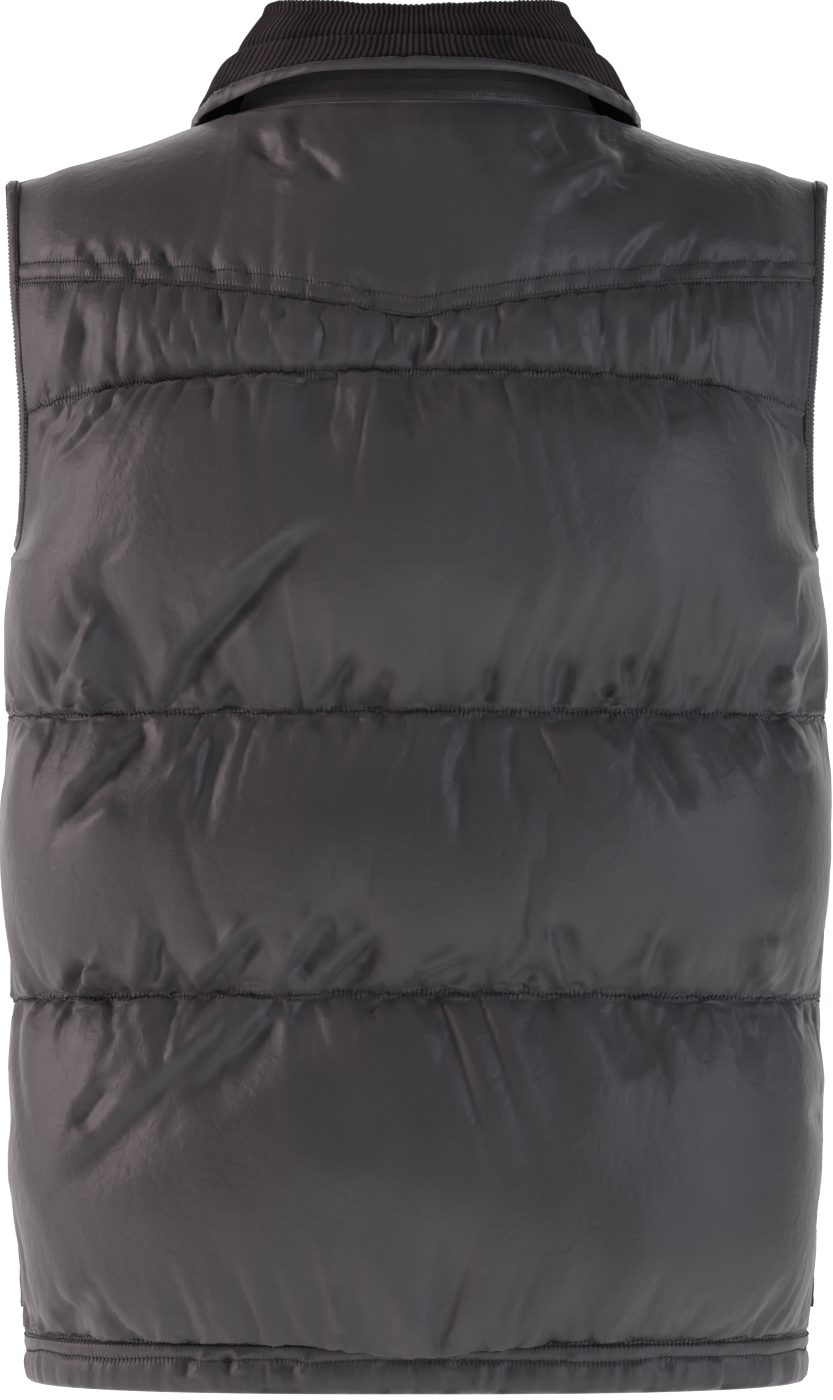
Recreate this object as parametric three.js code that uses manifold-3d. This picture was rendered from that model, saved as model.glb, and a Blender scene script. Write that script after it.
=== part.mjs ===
// Quilted vest: a padded, sleeveless jacket with a pointed back yoke, a turned-down corduroy collar
// and a zipped front, filled out as it is when worn.
// Millimetres. +Z up, the fronts face -Y, the wearer's left is +X.
// The origin lies midway between the two shoulder points at the neck, where the shoulders carry it.
import * as THREE from "three";
import Module from "manifold-3d";

// Driving dimensions
const SEAM_GAP = 0.3; // between two pieces that are sewn together
const SEAM_THICKNESS = 3; // padding squeezed flat along a line of quilting
const EDGE_THICKNESS = 4.5; // at an armhole, neck or shoulder edge
const NECK_HALF_WIDTH = 98;
const NECK_HEIGHT = -2; // height of the neckline at the centre back
const NECK_SLOPE = 3; // how far the neckline drops from there to the shoulder point
const NECK_DROP = 75; // from the shoulder point down to the centre front neck
const FRONT_EDGE_X = 7; // half of the gap between the two front edges
const ARMPIT_HEIGHT = -240;
const SHOULDER_TIP_X = 215;
const SECTION_ROUNDNESS = 2.4; // exponent of the oval cross-sections

// The plain inside of the vest. Depths are at the centre back and the centre front.
const BODY_SECTIONS = [
  { height: -689, halfWidth: 207.0, back: 115, front: 112 },
  { height: -647, halfWidth: 209.6, back: 117, front: 116 },
  { height: -592, halfWidth: 212.8, back: 118, front: 119 },
  { height: -538, halfWidth: 214.4, back: 117, front: 122 },
  { height: -462, halfWidth: 216.0, back: 116, front: 124 },
  { height: -374, halfWidth: 218.2, back: 118, front: 124 },
  { height: -309, halfWidth: 218.2, back: 120, front: 124 },
  { height: -276, halfWidth: 216.2, back: 121, front: 123 },
  { height: -240, halfWidth: 212.0, back: 122, front: 121 },
  { height: -226, halfWidth: 214.5, back: 122, front: 120 },
  { height: -200, halfWidth: 218.0, back: 122, front: 119 },
  { height: -166, halfWidth: 221.0, back: 122, front: 119 },
  { height: -118, halfWidth: 223.0, back: 122, front: 119 },
  { height: 60, halfWidth: 226.0, back: 122, front: 119 },
];

// The shoulder ridge, seen from behind: its height at a distance from the centre.
const SHOULDER_RIDGE = [
  { x: 0, height: 42 },
  { x: 30, height: 37 },
  { x: 60, height: 22 },
  { x: 80, height: 7.5 },
  { x: 98, height: -5 },
  { x: 125, height: -13.4 },
  { x: 160, height: -24.8 },
  { x: 230, height: -47.2 },
];

// Half-width of the panels at the armhole seam.
const ARMHOLE_EDGE = [
  { height: -240, back: 212.0, front: 212.0 },
  { height: -236, back: 209.4, front: 207.0 },
  { height: -226, back: 207.0, front: 201.0 },
  { height: -209, back: 205.4, front: 195.6 },
  { height: -189, back: 204.8, front: 192.6 },
  { height: -166, back: 205.0, front: 191.6 },
  { height: -140, back: 206.8, front: 193.8 },
  { height: -118, back: 208.6, front: 198.0 },
  { height: -97, back: 210.6, front: 203.0 },
  { height: -75, back: 212.6, front: 208.4 },
  { height: -38, back: 215.0, front: 215.0 },
];

// Where the body starts to slope towards the shoulders, and how roundly.
const SLOPE = {
  back: { start: -200, roundness: 2 },
  front: { start: -240, roundness: 1.6 },
};

// Lines of stitching round the body, at the centre and at the edge, from the bottom up.
// bend is the shape between the two: a point at the centre, or a curve that drops near the edge.
const LINES = {
  hemEdge: { centre: -687, edge: -689, bend: (s) => s * s },
  hemChannel: { centre: -670, edge: -672, bend: (s) => s * s },
  hemSeam: { centre: -661, edge: -663, bend: (s) => s * s },
  lowQuilt: { centre: -475, edge: -484, bend: (s) => s * s },
  midQuilt: { centre: -326, edge: -330, bend: (s) => s * s },
  highQuilt: { centre: -146, edge: -166, bend: (s) => s * s * s },
  yokeSeam: { centre: -119, edge: -96, bend: (s) => 1 - (1 - s) * (1 - s) },
};

// Padded channels between two lines: how far the filling stands out at its fullest, at the
// centre and at the side seam, and how many rows of facets the channel has.
const CHANNELS = {
  hem: { top: "hemSeam", bottom: "hemEdge", centrePuff: 2.4, sidePuff: 1.8, rows: 6 },
  low: { top: "lowQuilt", bottom: "hemSeam", centrePuff: 17, sidePuff: 3, rows: 7 },
  mid: { top: "midQuilt", bottom: "lowQuilt", centrePuff: 18, sidePuff: 3, rows: 6 },
  chest: { top: "highQuilt", bottom: "midQuilt", centrePuff: 19, sidePuff: 3, rows: 9 },
  underYoke: { top: "yokeSeam", bottom: "highQuilt", centrePuff: 8, sidePuff: 5, rows: 4 },
};
const TOP_PUFF = 5; // the yoke and the shoulders are only lightly filled
const TOP_ROWS = 7;
const ARMPIT_SHARE = 5 / 9; // the share of the chest rows that end at the armhole
const BACK_HALF_COLUMNS = 24;
const FRONT_COLUMNS = 18;
const HEM_ROWS = [0, 0.16, 0.33, 0.42, 0.68, 0.9, 1]; // the channel line of the hem is at 0.33
const FRONT_TAPER = 0.16; // share of a front over which its filling thins out to the zip
const GATHER_DEPTH = 0.42; // share of the padding that a gather lets in beside a seam
const GATHER_REACH = 0.3; // share of a channel that the gathers run into it

// The largest folds across the back, as troughs. angle is measured from level, towards +Z.
const BACK_FOLDS = [
  { x: 152, height: -285, length: 120, angle: 128, width: 13, depth: 6 },
  { x: 165, height: -365, length: 95, angle: 130, width: 12, depth: 7 },
  { x: 150, height: -455, length: 60, angle: 120, width: 10, depth: 5 },
  { x: 105, height: -450, length: 60, angle: 125, width: 10, depth: 5 },
  { x: 168, height: -560, length: 120, angle: 122, width: 13, depth: 6 },
  { x: 115, height: -560, length: 90, angle: 118, width: 11, depth: 4 },
  { x: -106, height: -290, length: 60, angle: 95, width: 11, depth: 5 },
  { x: -125, height: -362, length: 80, angle: 62, width: 12, depth: 5 },
  { x: -80, height: -458, length: 50, angle: 105, width: 10, depth: 5 },
  { x: 182, height: -145, length: 50, angle: 74, width: 9, depth: 4 },
];

const mix = (a, b, t) => a + (b - a) * t;
const add = (p, q, k = 1) => [p[0] + q[0] * k, p[1] + q[1] * k, p[2] + q[2] * k];
const minus = (p, q) => [p[0] - q[0], p[1] - q[1], p[2] - q[2]];
const cross = (p, q) => [
  p[1] * q[2] - p[2] * q[1],
  p[2] * q[0] - p[0] * q[2],
  p[0] * q[1] - p[1] * q[0],
];
const unit = (p) => {
  const length = Math.hypot(...p);
  return [p[0] / length, p[1] / length, p[2] / length];
};
const mixPoints = (p, q, t) => [mix(p[0], q[0], t), mix(p[1], q[1], t), mix(p[2], q[2], t)];
const smooth = (a, b, v) => {
  const t = Math.min(1, Math.max(0, (v - a) / (b - a)));
  return t * t * (3 - 2 * t);
};

// Reads a column of a table between its rows, on a smooth curve without overshoot.
function readTable(table, key, column, at) {
  const last = table.length - 1;
  if (at <= table[0][key]) return table[0][column];
  if (at >= table[last][key]) return table[last][column];
  let i = 0;
  while (table[i + 1][key] < at) i++;
  const slope = (k) =>
    (table[k + 1][column] - table[k][column]) / (table[k + 1][key] - table[k][key]);
  const tangent = (k) => {
    if (k === 0) return slope(0);
    if (k === last) return slope(last - 1);
    const before = slope(k - 1);
    const after = slope(k);
    return before * after <= 0 ? 0 : (2 * before * after) / (before + after);
  };
  const width = table[i + 1][key] - table[i][key];
  const t = (at - table[i][key]) / width;
  const square = t * t;
  const cube = square * t;
  return (
    table[i][column] * (2 * cube - 3 * square + 1) +
    tangent(i) * width * (cube - 2 * square + t) +
    table[i + 1][column] * (3 * square - 2 * cube) +
    tangent(i + 1) * width * (cube - square)
  );
}

const halfWidthAt = (height) => readTable(BODY_SECTIONS, "height", "halfWidth", height);
const ridgeAt = (x) => readTable(SHOULDER_RIDGE, "x", "height", Math.abs(x));
const lineAt = (name, s) => {
  const line = LINES[name];
  return mix(line.centre, line.edge, line.bend(Math.abs(s)));
};

// How far the inside of the back or the front lies from the plane of the side seams.
function depthAt(side, x, height) {
  const across = Math.min(1, Math.abs(x) / halfWidthAt(height));
  const oval = Math.pow(1 - Math.pow(across, SECTION_ROUNDNESS), 1 / SECTION_ROUNDNESS);
  const full = readTable(BODY_SECTIONS, "height", side, height) * oval;
  const { start, roundness } = SLOPE[side];
  if (height <= start) return full;
  const up = Math.min(1, (height - start) / (ridgeAt(x) - start));
  return full * Math.pow(1 - Math.pow(up, roundness), 1 / roundness);
}

// x at a share s of the way along a level row, so that the columns are evenly spaced round the body.
const rowTables = new Map();
function acrossRow(side, s, fromX, toX, height) {
  const key = `${side} ${fromX} ${toX} ${height}`;
  if (!rowTables.has(key)) rowTables.set(key, measureRow(side, fromX, toX, height));
  const { lengths, xs } = rowTables.get(key);
  const steps = xs.length - 1;
  const wanted = s * lengths[steps];
  let i = 0;
  while (i < steps - 1 && lengths[i + 1] < wanted) i++;
  return mix(xs[i], xs[i + 1], (wanted - lengths[i]) / (lengths[i + 1] - lengths[i]));
}
function measureRow(side, fromX, toX, height) {
  const steps = 40;
  const halfWidth = halfWidthAt(height);
  const depth = readTable(BODY_SECTIONS, "height", side, height);
  const power = SECTION_ROUNDNESS / 2;
  const startAngle = Math.asin(Math.pow(fromX / halfWidth, power));
  const endAngle = Math.asin(Math.min(1, Math.pow(toX / halfWidth, power)));
  const lengths = [0];
  const xs = [fromX];
  let before = null;
  for (let i = 0; i <= steps; i++) {
    const angle = mix(startAngle, endAngle, i / steps);
    const x = halfWidth * Math.pow(Math.sin(angle), 1 / power);
    const y = depth * Math.pow(Math.cos(angle), 1 / power);
    if (before) {
      lengths.push(lengths[i - 1] + Math.hypot(x - before[0], y - before[1]));
      xs.push(x);
    }
    before = [x, y];
  }
  return { lengths, xs };
}

// A point of the plain inside. s runs from the centre, 0, to the side seam or the armhole, 1.
// share runs down a channel, from its top line, 0, to its bottom line, 1.
function channelPoint(side, channelName, s, share) {
  const channel = CHANNELS[channelName];
  const edgeTop = LINES[channel.top].edge;
  const edgeBottom = LINES[channel.bottom].edge;
  const centreShare = channelName === "hem" ? share : (1 - Math.cos(Math.PI * share)) / 2;
  let edgeHeight = mix(edgeTop, edgeBottom, centreShare);
  if (channelName === "chest") {
    edgeHeight =
      share < ARMPIT_SHARE
        ? mix(edgeTop, ARMPIT_HEIGHT, Math.sin((Math.PI / 2) * (share / ARMPIT_SHARE)))
        : mix(ARMPIT_HEIGHT, edgeBottom, (share - ARMPIT_SHARE) / (1 - ARMPIT_SHARE));
  }
  const edgeShare = (edgeHeight - edgeTop) / (edgeBottom - edgeTop);
  const down = mix(centreShare, edgeShare, Math.pow(s, 4));
  const height = mix(lineAt(channel.top, s), lineAt(channel.bottom, s), down);
  const edgeX =
    edgeHeight > ARMPIT_HEIGHT
      ? readTable(ARMHOLE_EDGE, "height", side, edgeHeight)
      : halfWidthAt(edgeHeight);
  const fromX = side === "front" ? FRONT_EDGE_X : 0;
  const x = acrossRow(side, s, fromX, edgeX, edgeHeight);
  const y = depthAt(side, x, height) * (side === "back" ? 1 : -1);
  return { point: [x, y, height], down };
}

// Height of the neckline, back or front, at a distance from the centre.
function neckHeight(side, x) {
  const across = Math.min(1, x / NECK_HALF_WIDTH);
  if (side === "back") return NECK_HEIGHT - NECK_SLOPE * across ** 3;
  return NECK_HEIGHT - NECK_SLOPE - NECK_DROP * Math.pow(1 - across * across, 0.55);
}

// x along the top edge: the neckline takes the first half of s, the shoulder seam the second.
function alongTop(side, s) {
  if (s >= 0.5) return mix(NECK_HALF_WIDTH, SHOULDER_TIP_X, (s - 0.5) * 2);
  const fromX = side === "front" ? FRONT_EDGE_X : 0;
  return mix(fromX, NECK_HALF_WIDTH, Math.sin(Math.PI * s));
}

// A point of the plain inside above the yoke seam, or above the high quilting on the fronts.
// share runs up from that seam, 0, to the neckline and the shoulder seam, 1.
function topPoint(side, s, share) {
  const line = side === "back" ? "yokeSeam" : "highQuilt";
  const low = side === "back" ? "underYoke" : "chest";
  const { start, roundness } = SLOPE[side];
  const seamX = channelPoint(side, low, s, 0).point[0];
  const edgeX = alongTop(side, s);
  const climb = (x, height) =>
    Math.asin(Math.pow(Math.min(1, (height - start) / (ridgeAt(x) - start)), roundness / 2));
  const seamClimb = climb(seamX, lineAt(line, s));
  const edgeClimb = s >= 0.5 ? Math.PI / 2 : climb(edgeX, neckHeight(side, edgeX));
  const x = mix(seamX, edgeX, share);
  const angle = mix(seamClimb, edgeClimb, share);
  const height = start + (ridgeAt(x) - start) * Math.pow(Math.sin(angle), 2 / roundness);
  const y = angle > 1.5707 ? 0 : depthAt(side, x, height);
  return { point: [x, side === "back" ? y : -y, height], down: 1 - share };
}

// The surface as one function of s and level, where level counts the pieces from the bottom up.
const LEVELS = {
  back: ["hem", "low", "mid", "chest", "underYoke", "top"],
  front: ["hem", "low", "mid", "chest", "top"],
};
function insidePoint(side, s, level) {
  const names = LEVELS[side];
  const index = Math.min(names.length - 1, Math.max(0, Math.floor(level)));
  const name = names[index];
  const share = level - index;
  return name === "top"
    ? topPoint(side, s, share)
    : channelPoint(side, name, s, 1 - share);
}

// Outward direction, and the two directions along the surface, at a point of the inside.
function directionsAt(side, s, level) {
  const step = 0.004;
  const top = LEVELS[side].length;
  const at = (ds, dl) =>
    insidePoint(side, Math.min(1, Math.max(0, s + ds)), Math.min(top, Math.max(0, level + dl)))
      .point;
  let along = unit(minus(at(step, 0), at(-step, 0)));
  let up = unit(minus(at(0, step), at(0, -step)));
  const facing = side === "back" ? 1 : -1;
  const height = at(0, 0)[2];
  if (s > 0.9999 && height < ARMPIT_HEIGHT + 0.01) along = [0, -facing, 0];
  if (s < 0.0001 && side === "front") along = unit([along[0], 0, along[2]]);
  if (s < 0.0001 && side === "back") along = [1, 0, 0];
  if (level > top - 0.0001 && s >= 0.5) up = [0, -facing, 0];
  let out = unit(cross(along, up));
  if (out[1] * facing + out[0] * 0.5 + out[2] * 0.1 < 0) out = [-out[0], -out[1], -out[2]];
  if (s < 0.0001) out = unit([0, out[1], out[2]]);
  return { along, up, out };
}

// Irregular ripple, from -1 to 1, that neighbouring columns share out as gathers.
const gather = (column, seam) =>
  Math.cos(Math.PI * column) * (0.55 + 0.45 * Math.sin(1.7 * column + 2.3 * seam));

function foldDepth(x, height) {
  let depth = 0;
  for (const fold of BACK_FOLDS) {
    const turn = (fold.angle * Math.PI) / 180;
    const dx = x - fold.x;
    const dz = height - fold.height;
    const along = (dx * Math.cos(turn) + dz * Math.sin(turn)) / (fold.length / 2);
    const beside = (-dx * Math.sin(turn) + dz * Math.cos(turn)) / fold.width;
    depth += fold.depth * Math.exp(-along * along * along * along - beside * beside);
  }
  return depth;
}

// Thickness of the padded wall at a place of the surface. mirror is 1 on the wearer's left.
function thicknessAt(side, s, level, mirror, column) {
  const names = LEVELS[side];
  const index = Math.min(names.length - 1, Math.floor(level + 1e-9));
  const { point, down } = insidePoint(side, s, level);
  const [x, , height] = point;
  const nearArmhole = height > ARMPIT_HEIGHT ? smooth(1, 0.86, s) : 1;
  if (names[index] === "top") {
    const share = 1 - down;
    const rise = Math.pow(Math.sin(Math.PI * Math.min(1, share * 0.75 + 0.06)), 0.6);
    const stitched = side === "back" ? smooth(0.04, 0.16, share) : smooth(0, 0.2, share);
    const nearZip = side === "front" ? mix(0.1, 1, smooth(0, FRONT_TAPER, s)) : 1;
    const filled = rise * nearArmhole * nearZip * stitched * smooth(1.02, 0.8, share);
    return EDGE_THICKNESS + TOP_PUFF * filled;
  }
  const channel = CHANNELS[names[index]];
  const nearZip = side === "front" ? mix(0.1, 1, smooth(0, FRONT_TAPER, s)) : 1;
  const fullness = mix(channel.centrePuff, channel.sidePuff, smooth(0.55, 1, s)) * nearZip;
  if (names[index] === "hem") {
    const lobe =
      down < 0.33 ? 0.6 * Math.sin((Math.PI * down) / 0.33) : Math.sin((Math.PI * (down - 0.33)) / 0.67);
    const pucker = down > 0.4 && down < 0.99 ? 1 + 0.3 * gather(column, 7) : 1;
    return SEAM_THICKNESS + 0.4 + fullness * Math.pow(Math.max(0, lobe), 0.6) * pucker;
  }
  const plump = Math.pow(Math.max(0, Math.sin(Math.PI * down)), 0.55);
  const seamDistance = Math.min(down, 1 - down);
  const seam = index + (down < 0.5 ? 1 : 0);
  const ripple =
    GATHER_DEPTH *
    gather(column, seam) *
    smooth(GATHER_REACH, 0.04, seamDistance) *
    smooth(0, 0.03, seamDistance);
  const base = mix(EDGE_THICKNESS, SEAM_THICKNESS, height > ARMPIT_HEIGHT ? nearArmhole : 1);
  const puff = fullness * plump * (1 + ripple) * Math.max(0.25, nearArmhole);
  const trough = side === "back" ? foldDepth(x * mirror, height) * plump : 0;
  return base + Math.max(0.15 * puff, puff - Math.min(trough, 0.75 * puff));
}

// Collects the vertices and triangles of one closed solid.
class Skin {
  constructor() {
    this.points = [];
    this.faces = [];
  }
  point(p) {
    this.points.push(p[0], p[1], p[2]);
    return this.points.length / 3 - 1;
  }
  grid(rows) {
    return rows.map((row) => row.map((p) => this.point(p)));
  }
  // Faces between neighbouring rows. flip turns them round.
  fill(ids, flip) {
    for (let i = 0; i + 1 < ids.length; i++) this.strip(ids[i], ids[i + 1], flip);
  }
  // Faces between two lines of vertices that may hold different numbers of them. marksA and
  // marksB say how far along its line each vertex lies, where the spacing is uneven.
  strip(a, b, flip, marksA, marksB) {
    let i = 0;
    let j = 0;
    while (i < a.length - 1 || j < b.length - 1) {
      const nextA = i === a.length - 1 ? 99 : marksA ? marksA[i + 1] : (i + 1) / (a.length - 1);
      const nextB = j === b.length - 1 ? 99 : marksB ? marksB[j + 1] : (j + 1) / (b.length - 1);
      if (nextA <= nextB) this.face(a[i], a[++i], b[j], flip);
      else this.face(a[i], b[j + 1], b[j++], flip);
    }
  }
  face(a, b, c, flip) {
    if (a === b || b === c || a === c) return;
    this.faces.push(...(flip ? [a, c, b] : [a, b, c]));
  }
  volume() {
    let six = 0;
    for (let i = 0; i < this.faces.length; i += 3) {
      const [p, q, r] = [0, 1, 2].map((k) => {
        const at = this.faces[i + k] * 3;
        return this.points.slice(at, at + 3);
      });
      const n = cross(q, r);
      six += p[0] * n[0] + p[1] * n[1] + p[2] * n[2];
    }
    return six / 6;
  }
  geometry() {
    if (this.volume() < 0) {
      for (let i = 0; i < this.faces.length; i += 3)
        [this.faces[i + 1], this.faces[i + 2]] = [this.faces[i + 2], this.faces[i + 1]];
    }
    const made = new THREE.BufferGeometry();
    made.setAttribute("position", new THREE.Float32BufferAttribute(this.points, 3));
    made.setIndex(this.faces);
    made.computeVertexNormals();
    return made;
  }
}

// A wall between two grids of points. The inner grid may be coarser than the outer one, and
// marks then says how far up each row of the two lies.
function wall(outerRows, innerRows, marks = {}) {
  const skin = new Skin();
  const outer = skin.grid(outerRows);
  const inner = skin.grid(innerRows);
  const column = (ids, k) => ids.map((row) => row.at(k));
  skin.fill(outer, false);
  skin.fill(inner, true);
  skin.strip(outer[0], inner[0], true);
  skin.strip(outer.at(-1), inner.at(-1), false);
  skin.strip(column(outer, 0), column(inner, 0), false, marks.outer, marks.inner);
  skin.strip(column(outer, -1), column(inner, -1), true, marks.outer, marks.inner);
  return skin.geometry();
}

// A closed ring, or an open run with flat ends, of sections that each hold the same points.
function run(sections, closed) {
  const skin = new Skin();
  const ids = skin.grid(sections);
  const loops = ids.map((row) => [...row, row[0]]);
  skin.fill(closed ? [...loops, loops[0]] : loops, false);
  if (!closed) {
    for (const [row, flip] of [
      [ids[0], true],
      [ids.at(-1), false],
    ])
      for (let k = 1; k + 1 < row.length; k++) skin.face(row[0], row[k], row[k + 1], flip);
  }
  return skin.geometry();
}

const SHELL_CLOTH = new THREE.MeshStandardMaterial({ color: 0x4b494b, roughness: 0.5 });
const CORDUROY = new THREE.MeshStandardMaterial({ color: 0x231f1f, roughness: 0.95 });
const ZIP_TAPE = new THREE.MeshStandardMaterial({ color: 0x2b2a2b, roughness: 0.85 });
const ZIP_METAL = new THREE.MeshStandardMaterial({
  color: 0x55534f,
  roughness: 0.35,
  metalness: 1,
});

const vest = new THREE.Group();
function piece(name, geometry, material) {
  const mesh = new THREE.Mesh(geometry, material);
  mesh.name = name;
  vest.add(mesh);
  return mesh;
}

// Inside and outside points of a panel at one place, set back from the seams on its own edges.
function panelPoint(side, s, level, mirror, column, limits) {
  const { point } = insidePoint(side, s, level);
  const { along, up, out } = directionsAt(side, s, level);
  const facing = side === "back" ? 1 : -1;
  const half = SEAM_GAP / 2;
  let place = point;
  if (s > 0.9999) {
    place =
      point[2] < ARMPIT_HEIGHT + 0.01
        ? add(place, [0, facing, 0], half)
        : add(place, along, -half);
  }
  if (level < limits[0] + 1e-6 && limits[0] > 0) place = add(place, up, half);
  if (level > limits[1] - 1e-6) place = add(place, up, -half);
  const thickness = thicknessAt(side, s, Math.min(level, limits[1] - 1e-6), mirror, column);
  const outside = add(place, out, thickness);
  return { inside: place, outside };
}

// Rows of a patch from one level to another; each level holds the rows that its channel asks for.
function levelsOf(side, low, high) {
  const levels = [];
  for (let index = low; index < high; index++) {
    const name = LEVELS[side][index];
    const rows = name === "top" ? TOP_ROWS : CHANNELS[name].rows;
    for (let row = 0; row < rows; row++)
      levels.push(index + (name === "hem" ? 1 - HEM_ROWS[rows - row] : row / rows));
  }
  return [...levels, high];
}

const everyOther = (list) => list.filter((_, i) => i % 2 === 0 || i === list.length - 1);

// One panel of padded cloth. columns lists the signed s of each column.
function panel(name, side, low, high, columns, mirrorOf) {
  const limits = [low, high];
  const at = (c, level) => {
    const mirror = mirrorOf(c);
    const made = panelPoint(side, Math.abs(c.s), level, mirror, c.index, limits);
    const turned = (p) => [p[0] * mirror, p[1], p[2]];
    return { inside: turned(made.inside), outside: turned(made.outside) };
  };
  const levels = levelsOf(side, low, high);
  const outer = levels.map((level) => columns.map((c) => at(c, level).outside));
  const armpit = 3 + (1 - ARMPIT_SHARE) - 1e-6;
  const sparse = everyOther(levels.filter((level) => level < armpit));
  const innerLevels = [...sparse, ...levels.filter((level) => level >= armpit)];
  const inner = innerLevels.map((level) => {
    const all = level === high && high === LEVELS[side].length;
    return (all ? columns : everyOther(columns)).map((c) => at(c, level).inside);
  });
  return piece(name, wall(outer, inner, { outer: levels, inner: innerLevels }), SHELL_CLOTH);
}

const backColumns = [];
for (let k = -BACK_HALF_COLUMNS; k <= BACK_HALF_COLUMNS; k++)
  backColumns.push({ s: k / BACK_HALF_COLUMNS, index: k });
const frontColumns = [];
for (let k = 0; k <= FRONT_COLUMNS; k++) frontColumns.push({ s: k / FRONT_COLUMNS, index: k });
const signOf = (c) => (c.s < 0 ? -1 : 1);

// Back: hem band, body with three channels and the part under the yoke, and the yoke itself
panel("hem_band_back", "back", 0, 1, backColumns, signOf);
panel("back_body", "back", 1, 5, backColumns, signOf);
panel("back_yoke", "back", 5, 6, backColumns, signOf);

// Fronts: hem band and one panel up to the shoulder on each side
for (const [hand, mirror] of [
  ["left", 1],
  ["right", -1],
]) {
  panel(`hem_band_front_${hand}`, "front", 0, 1, frontColumns, () => mirror);
  panel(`front_${hand}`, "front", 1, 5, frontColumns, () => mirror);
}

// Armhole bands: a narrow folded strip round each armhole, in line with the cloth it edges.
// Each row is a point of the strip's section: distance from the panel, and height off its inside.
const BAND_SECTION = [
  { across: 0.3, above: 0.3 },
  { across: 0.3, above: 5.4 },
  { across: 1.6, above: 6.0 },
  { across: 6.4, above: 5.6 },
  { across: 8.2, above: 4.2 },
  { across: 8.5, above: 2.2 },
  { across: 7.4, above: 0.5 },
  { across: 3.6, above: 0.0 },
];
const ARMHOLE_MIDDLE = [214, 0, -140];

function armholeStations() {
  const stations = [];
  const lowest = 3 + (1 - ARMPIT_SHARE);
  const visit = (side, level) => stations.push({ side, level });
  const levelsAbove = (side) =>
    levelsOf(side, 0, LEVELS[side].length).filter((level) => level > lowest + 1e-6);
  visit("back", lowest);
  for (const level of levelsAbove("back")) visit("back", level);
  for (const level of levelsAbove("front").reverse().slice(1)) visit("front", level);
  return stations;
}

function armholeBand(mirror) {
  const stations = armholeStations();
  const points = stations.map(({ side, level }) => insidePoint(side, 1, level).point);
  const count = points.length;
  const sections = stations.map(({ side, level }, i) => {
    const tangent = unit(minus(points[(i + 1) % count], points[(i + count - 1) % count]));
    const out = i === 0 ? [1, 0, 0] : directionsAt(side, 1, level).out;
    let across = unit(cross(tangent, out));
    const inward = minus(ARMHOLE_MIDDLE, points[i]);
    if (across[0] * Math.abs(inward[0]) + across[1] * inward[1] + across[2] * inward[2] < 0)
      across = [-across[0], -across[1], -across[2]];
    return BAND_SECTION.map((row) => {
      const p = add(add(points[i], across, row.across), out, row.above);
      return [p[0] * mirror, p[1], p[2]];
    });
  });
  return run(sections, true);
}
piece("armhole_band_left", armholeBand(1), SHELL_CLOTH);
piece("armhole_band_right", armholeBand(-1), SHELL_CLOTH);

// Collar: a stand sewn to the neckline, and a fall turned down over it. Each row is a place
// along half of the collar, from the centre back, 0, to the front end, 1.
const COLLAR = [
  { share: 0, foldX: 0, foldY: 62, foldZ: 51, edgeX: 0, edgeY: 90, edgeZ: 17 },
  { share: 0.15, foldX: 30, foldY: 58, foldZ: 52, edgeX: 40, edgeY: 86, edgeZ: 16.5 },
  { share: 0.3, foldX: 57, foldY: 46, foldZ: 54.5, edgeX: 78, edgeY: 68, edgeZ: 13 },
  { share: 0.42, foldX: 74, foldY: 27, foldZ: 56, edgeX: 106, edgeY: 38, edgeZ: 6 },
  { share: 0.5, foldX: 79, foldY: 10, foldZ: 56, edgeX: 119, edgeY: 10, edgeZ: -3 },
  { share: 0.6, foldX: 78, foldY: -13, foldZ: 48, edgeX: 121, edgeY: -22, edgeZ: -18 },
  { share: 0.7, foldX: 69, foldY: -38, foldZ: 31, edgeX: 113, edgeY: -52, edgeZ: -38 },
  { share: 0.8, foldX: 54, foldY: -60, foldZ: 9, edgeX: 100, edgeY: -74, edgeZ: -60 },
  { share: 0.9, foldX: 34, foldY: -79, foldZ: -20, edgeX: 83, edgeY: -92, edgeZ: -84 },
  { share: 1, foldX: 14, foldY: -92, foldZ: -48, edgeX: 62, edgeY: -108, edgeZ: -104 },
];
const BACK_NECK_SHARE = 0.46; // share of the half collar that is sewn to the back
const ROLL_RADIUS = 5; // of the fold, at the middle of the cloth
const COLLAR_LAYER = 2.3; // thickness of each of the two layers
const COLLAR_REVEAL = 6.5; // how far the shell cloth rolls out below the corduroy
const NECK_ROWS = 8.7; // between the two rows of stitching at the foot of the stand
const WALES_EACH_SIDE = 66;
const WALE_RELIEF = 0.5;
const COLLAR_STEPS = 16; // columns along half of the plain faces

// Middle of the neckline's edge, and the direction in the cloth that leads into the neck opening.
function neckEdge(share) {
  const side = share <= BACK_NECK_SHARE ? "back" : "front";
  const s =
    side === "back"
      ? (0.5 * share) / BACK_NECK_SHARE
      : (0.5 * (1 - share)) / (1 - BACK_NECK_SHARE);
  const level = LEVELS[side].length;
  const { out } = directionsAt(side, s, level);
  return { point: add(insidePoint(side, s, level).point, out, EDGE_THICKNESS / 2), out };
}
function neckSeam(share) {
  const { point, out } = neckEdge(share);
  const before = neckEdge(Math.max(0, share - 0.02)).point;
  const after = neckEdge(Math.min(1, share + 0.02)).point;
  const tangent = share < 0.001 ? [1, 0, 0] : unit(minus(after, before));
  let into = unit(cross(tangent, out));
  const middle = minus([0, -10, 20], point);
  if (into[0] * middle[0] + into[1] * middle[1] + into[2] * middle[2] < 0)
    into = [-into[0], -into[1], -into[2]];
  if (share > 0.999) into = unit([0, into[1], into[2]]);
  return { point, into };
}

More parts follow.
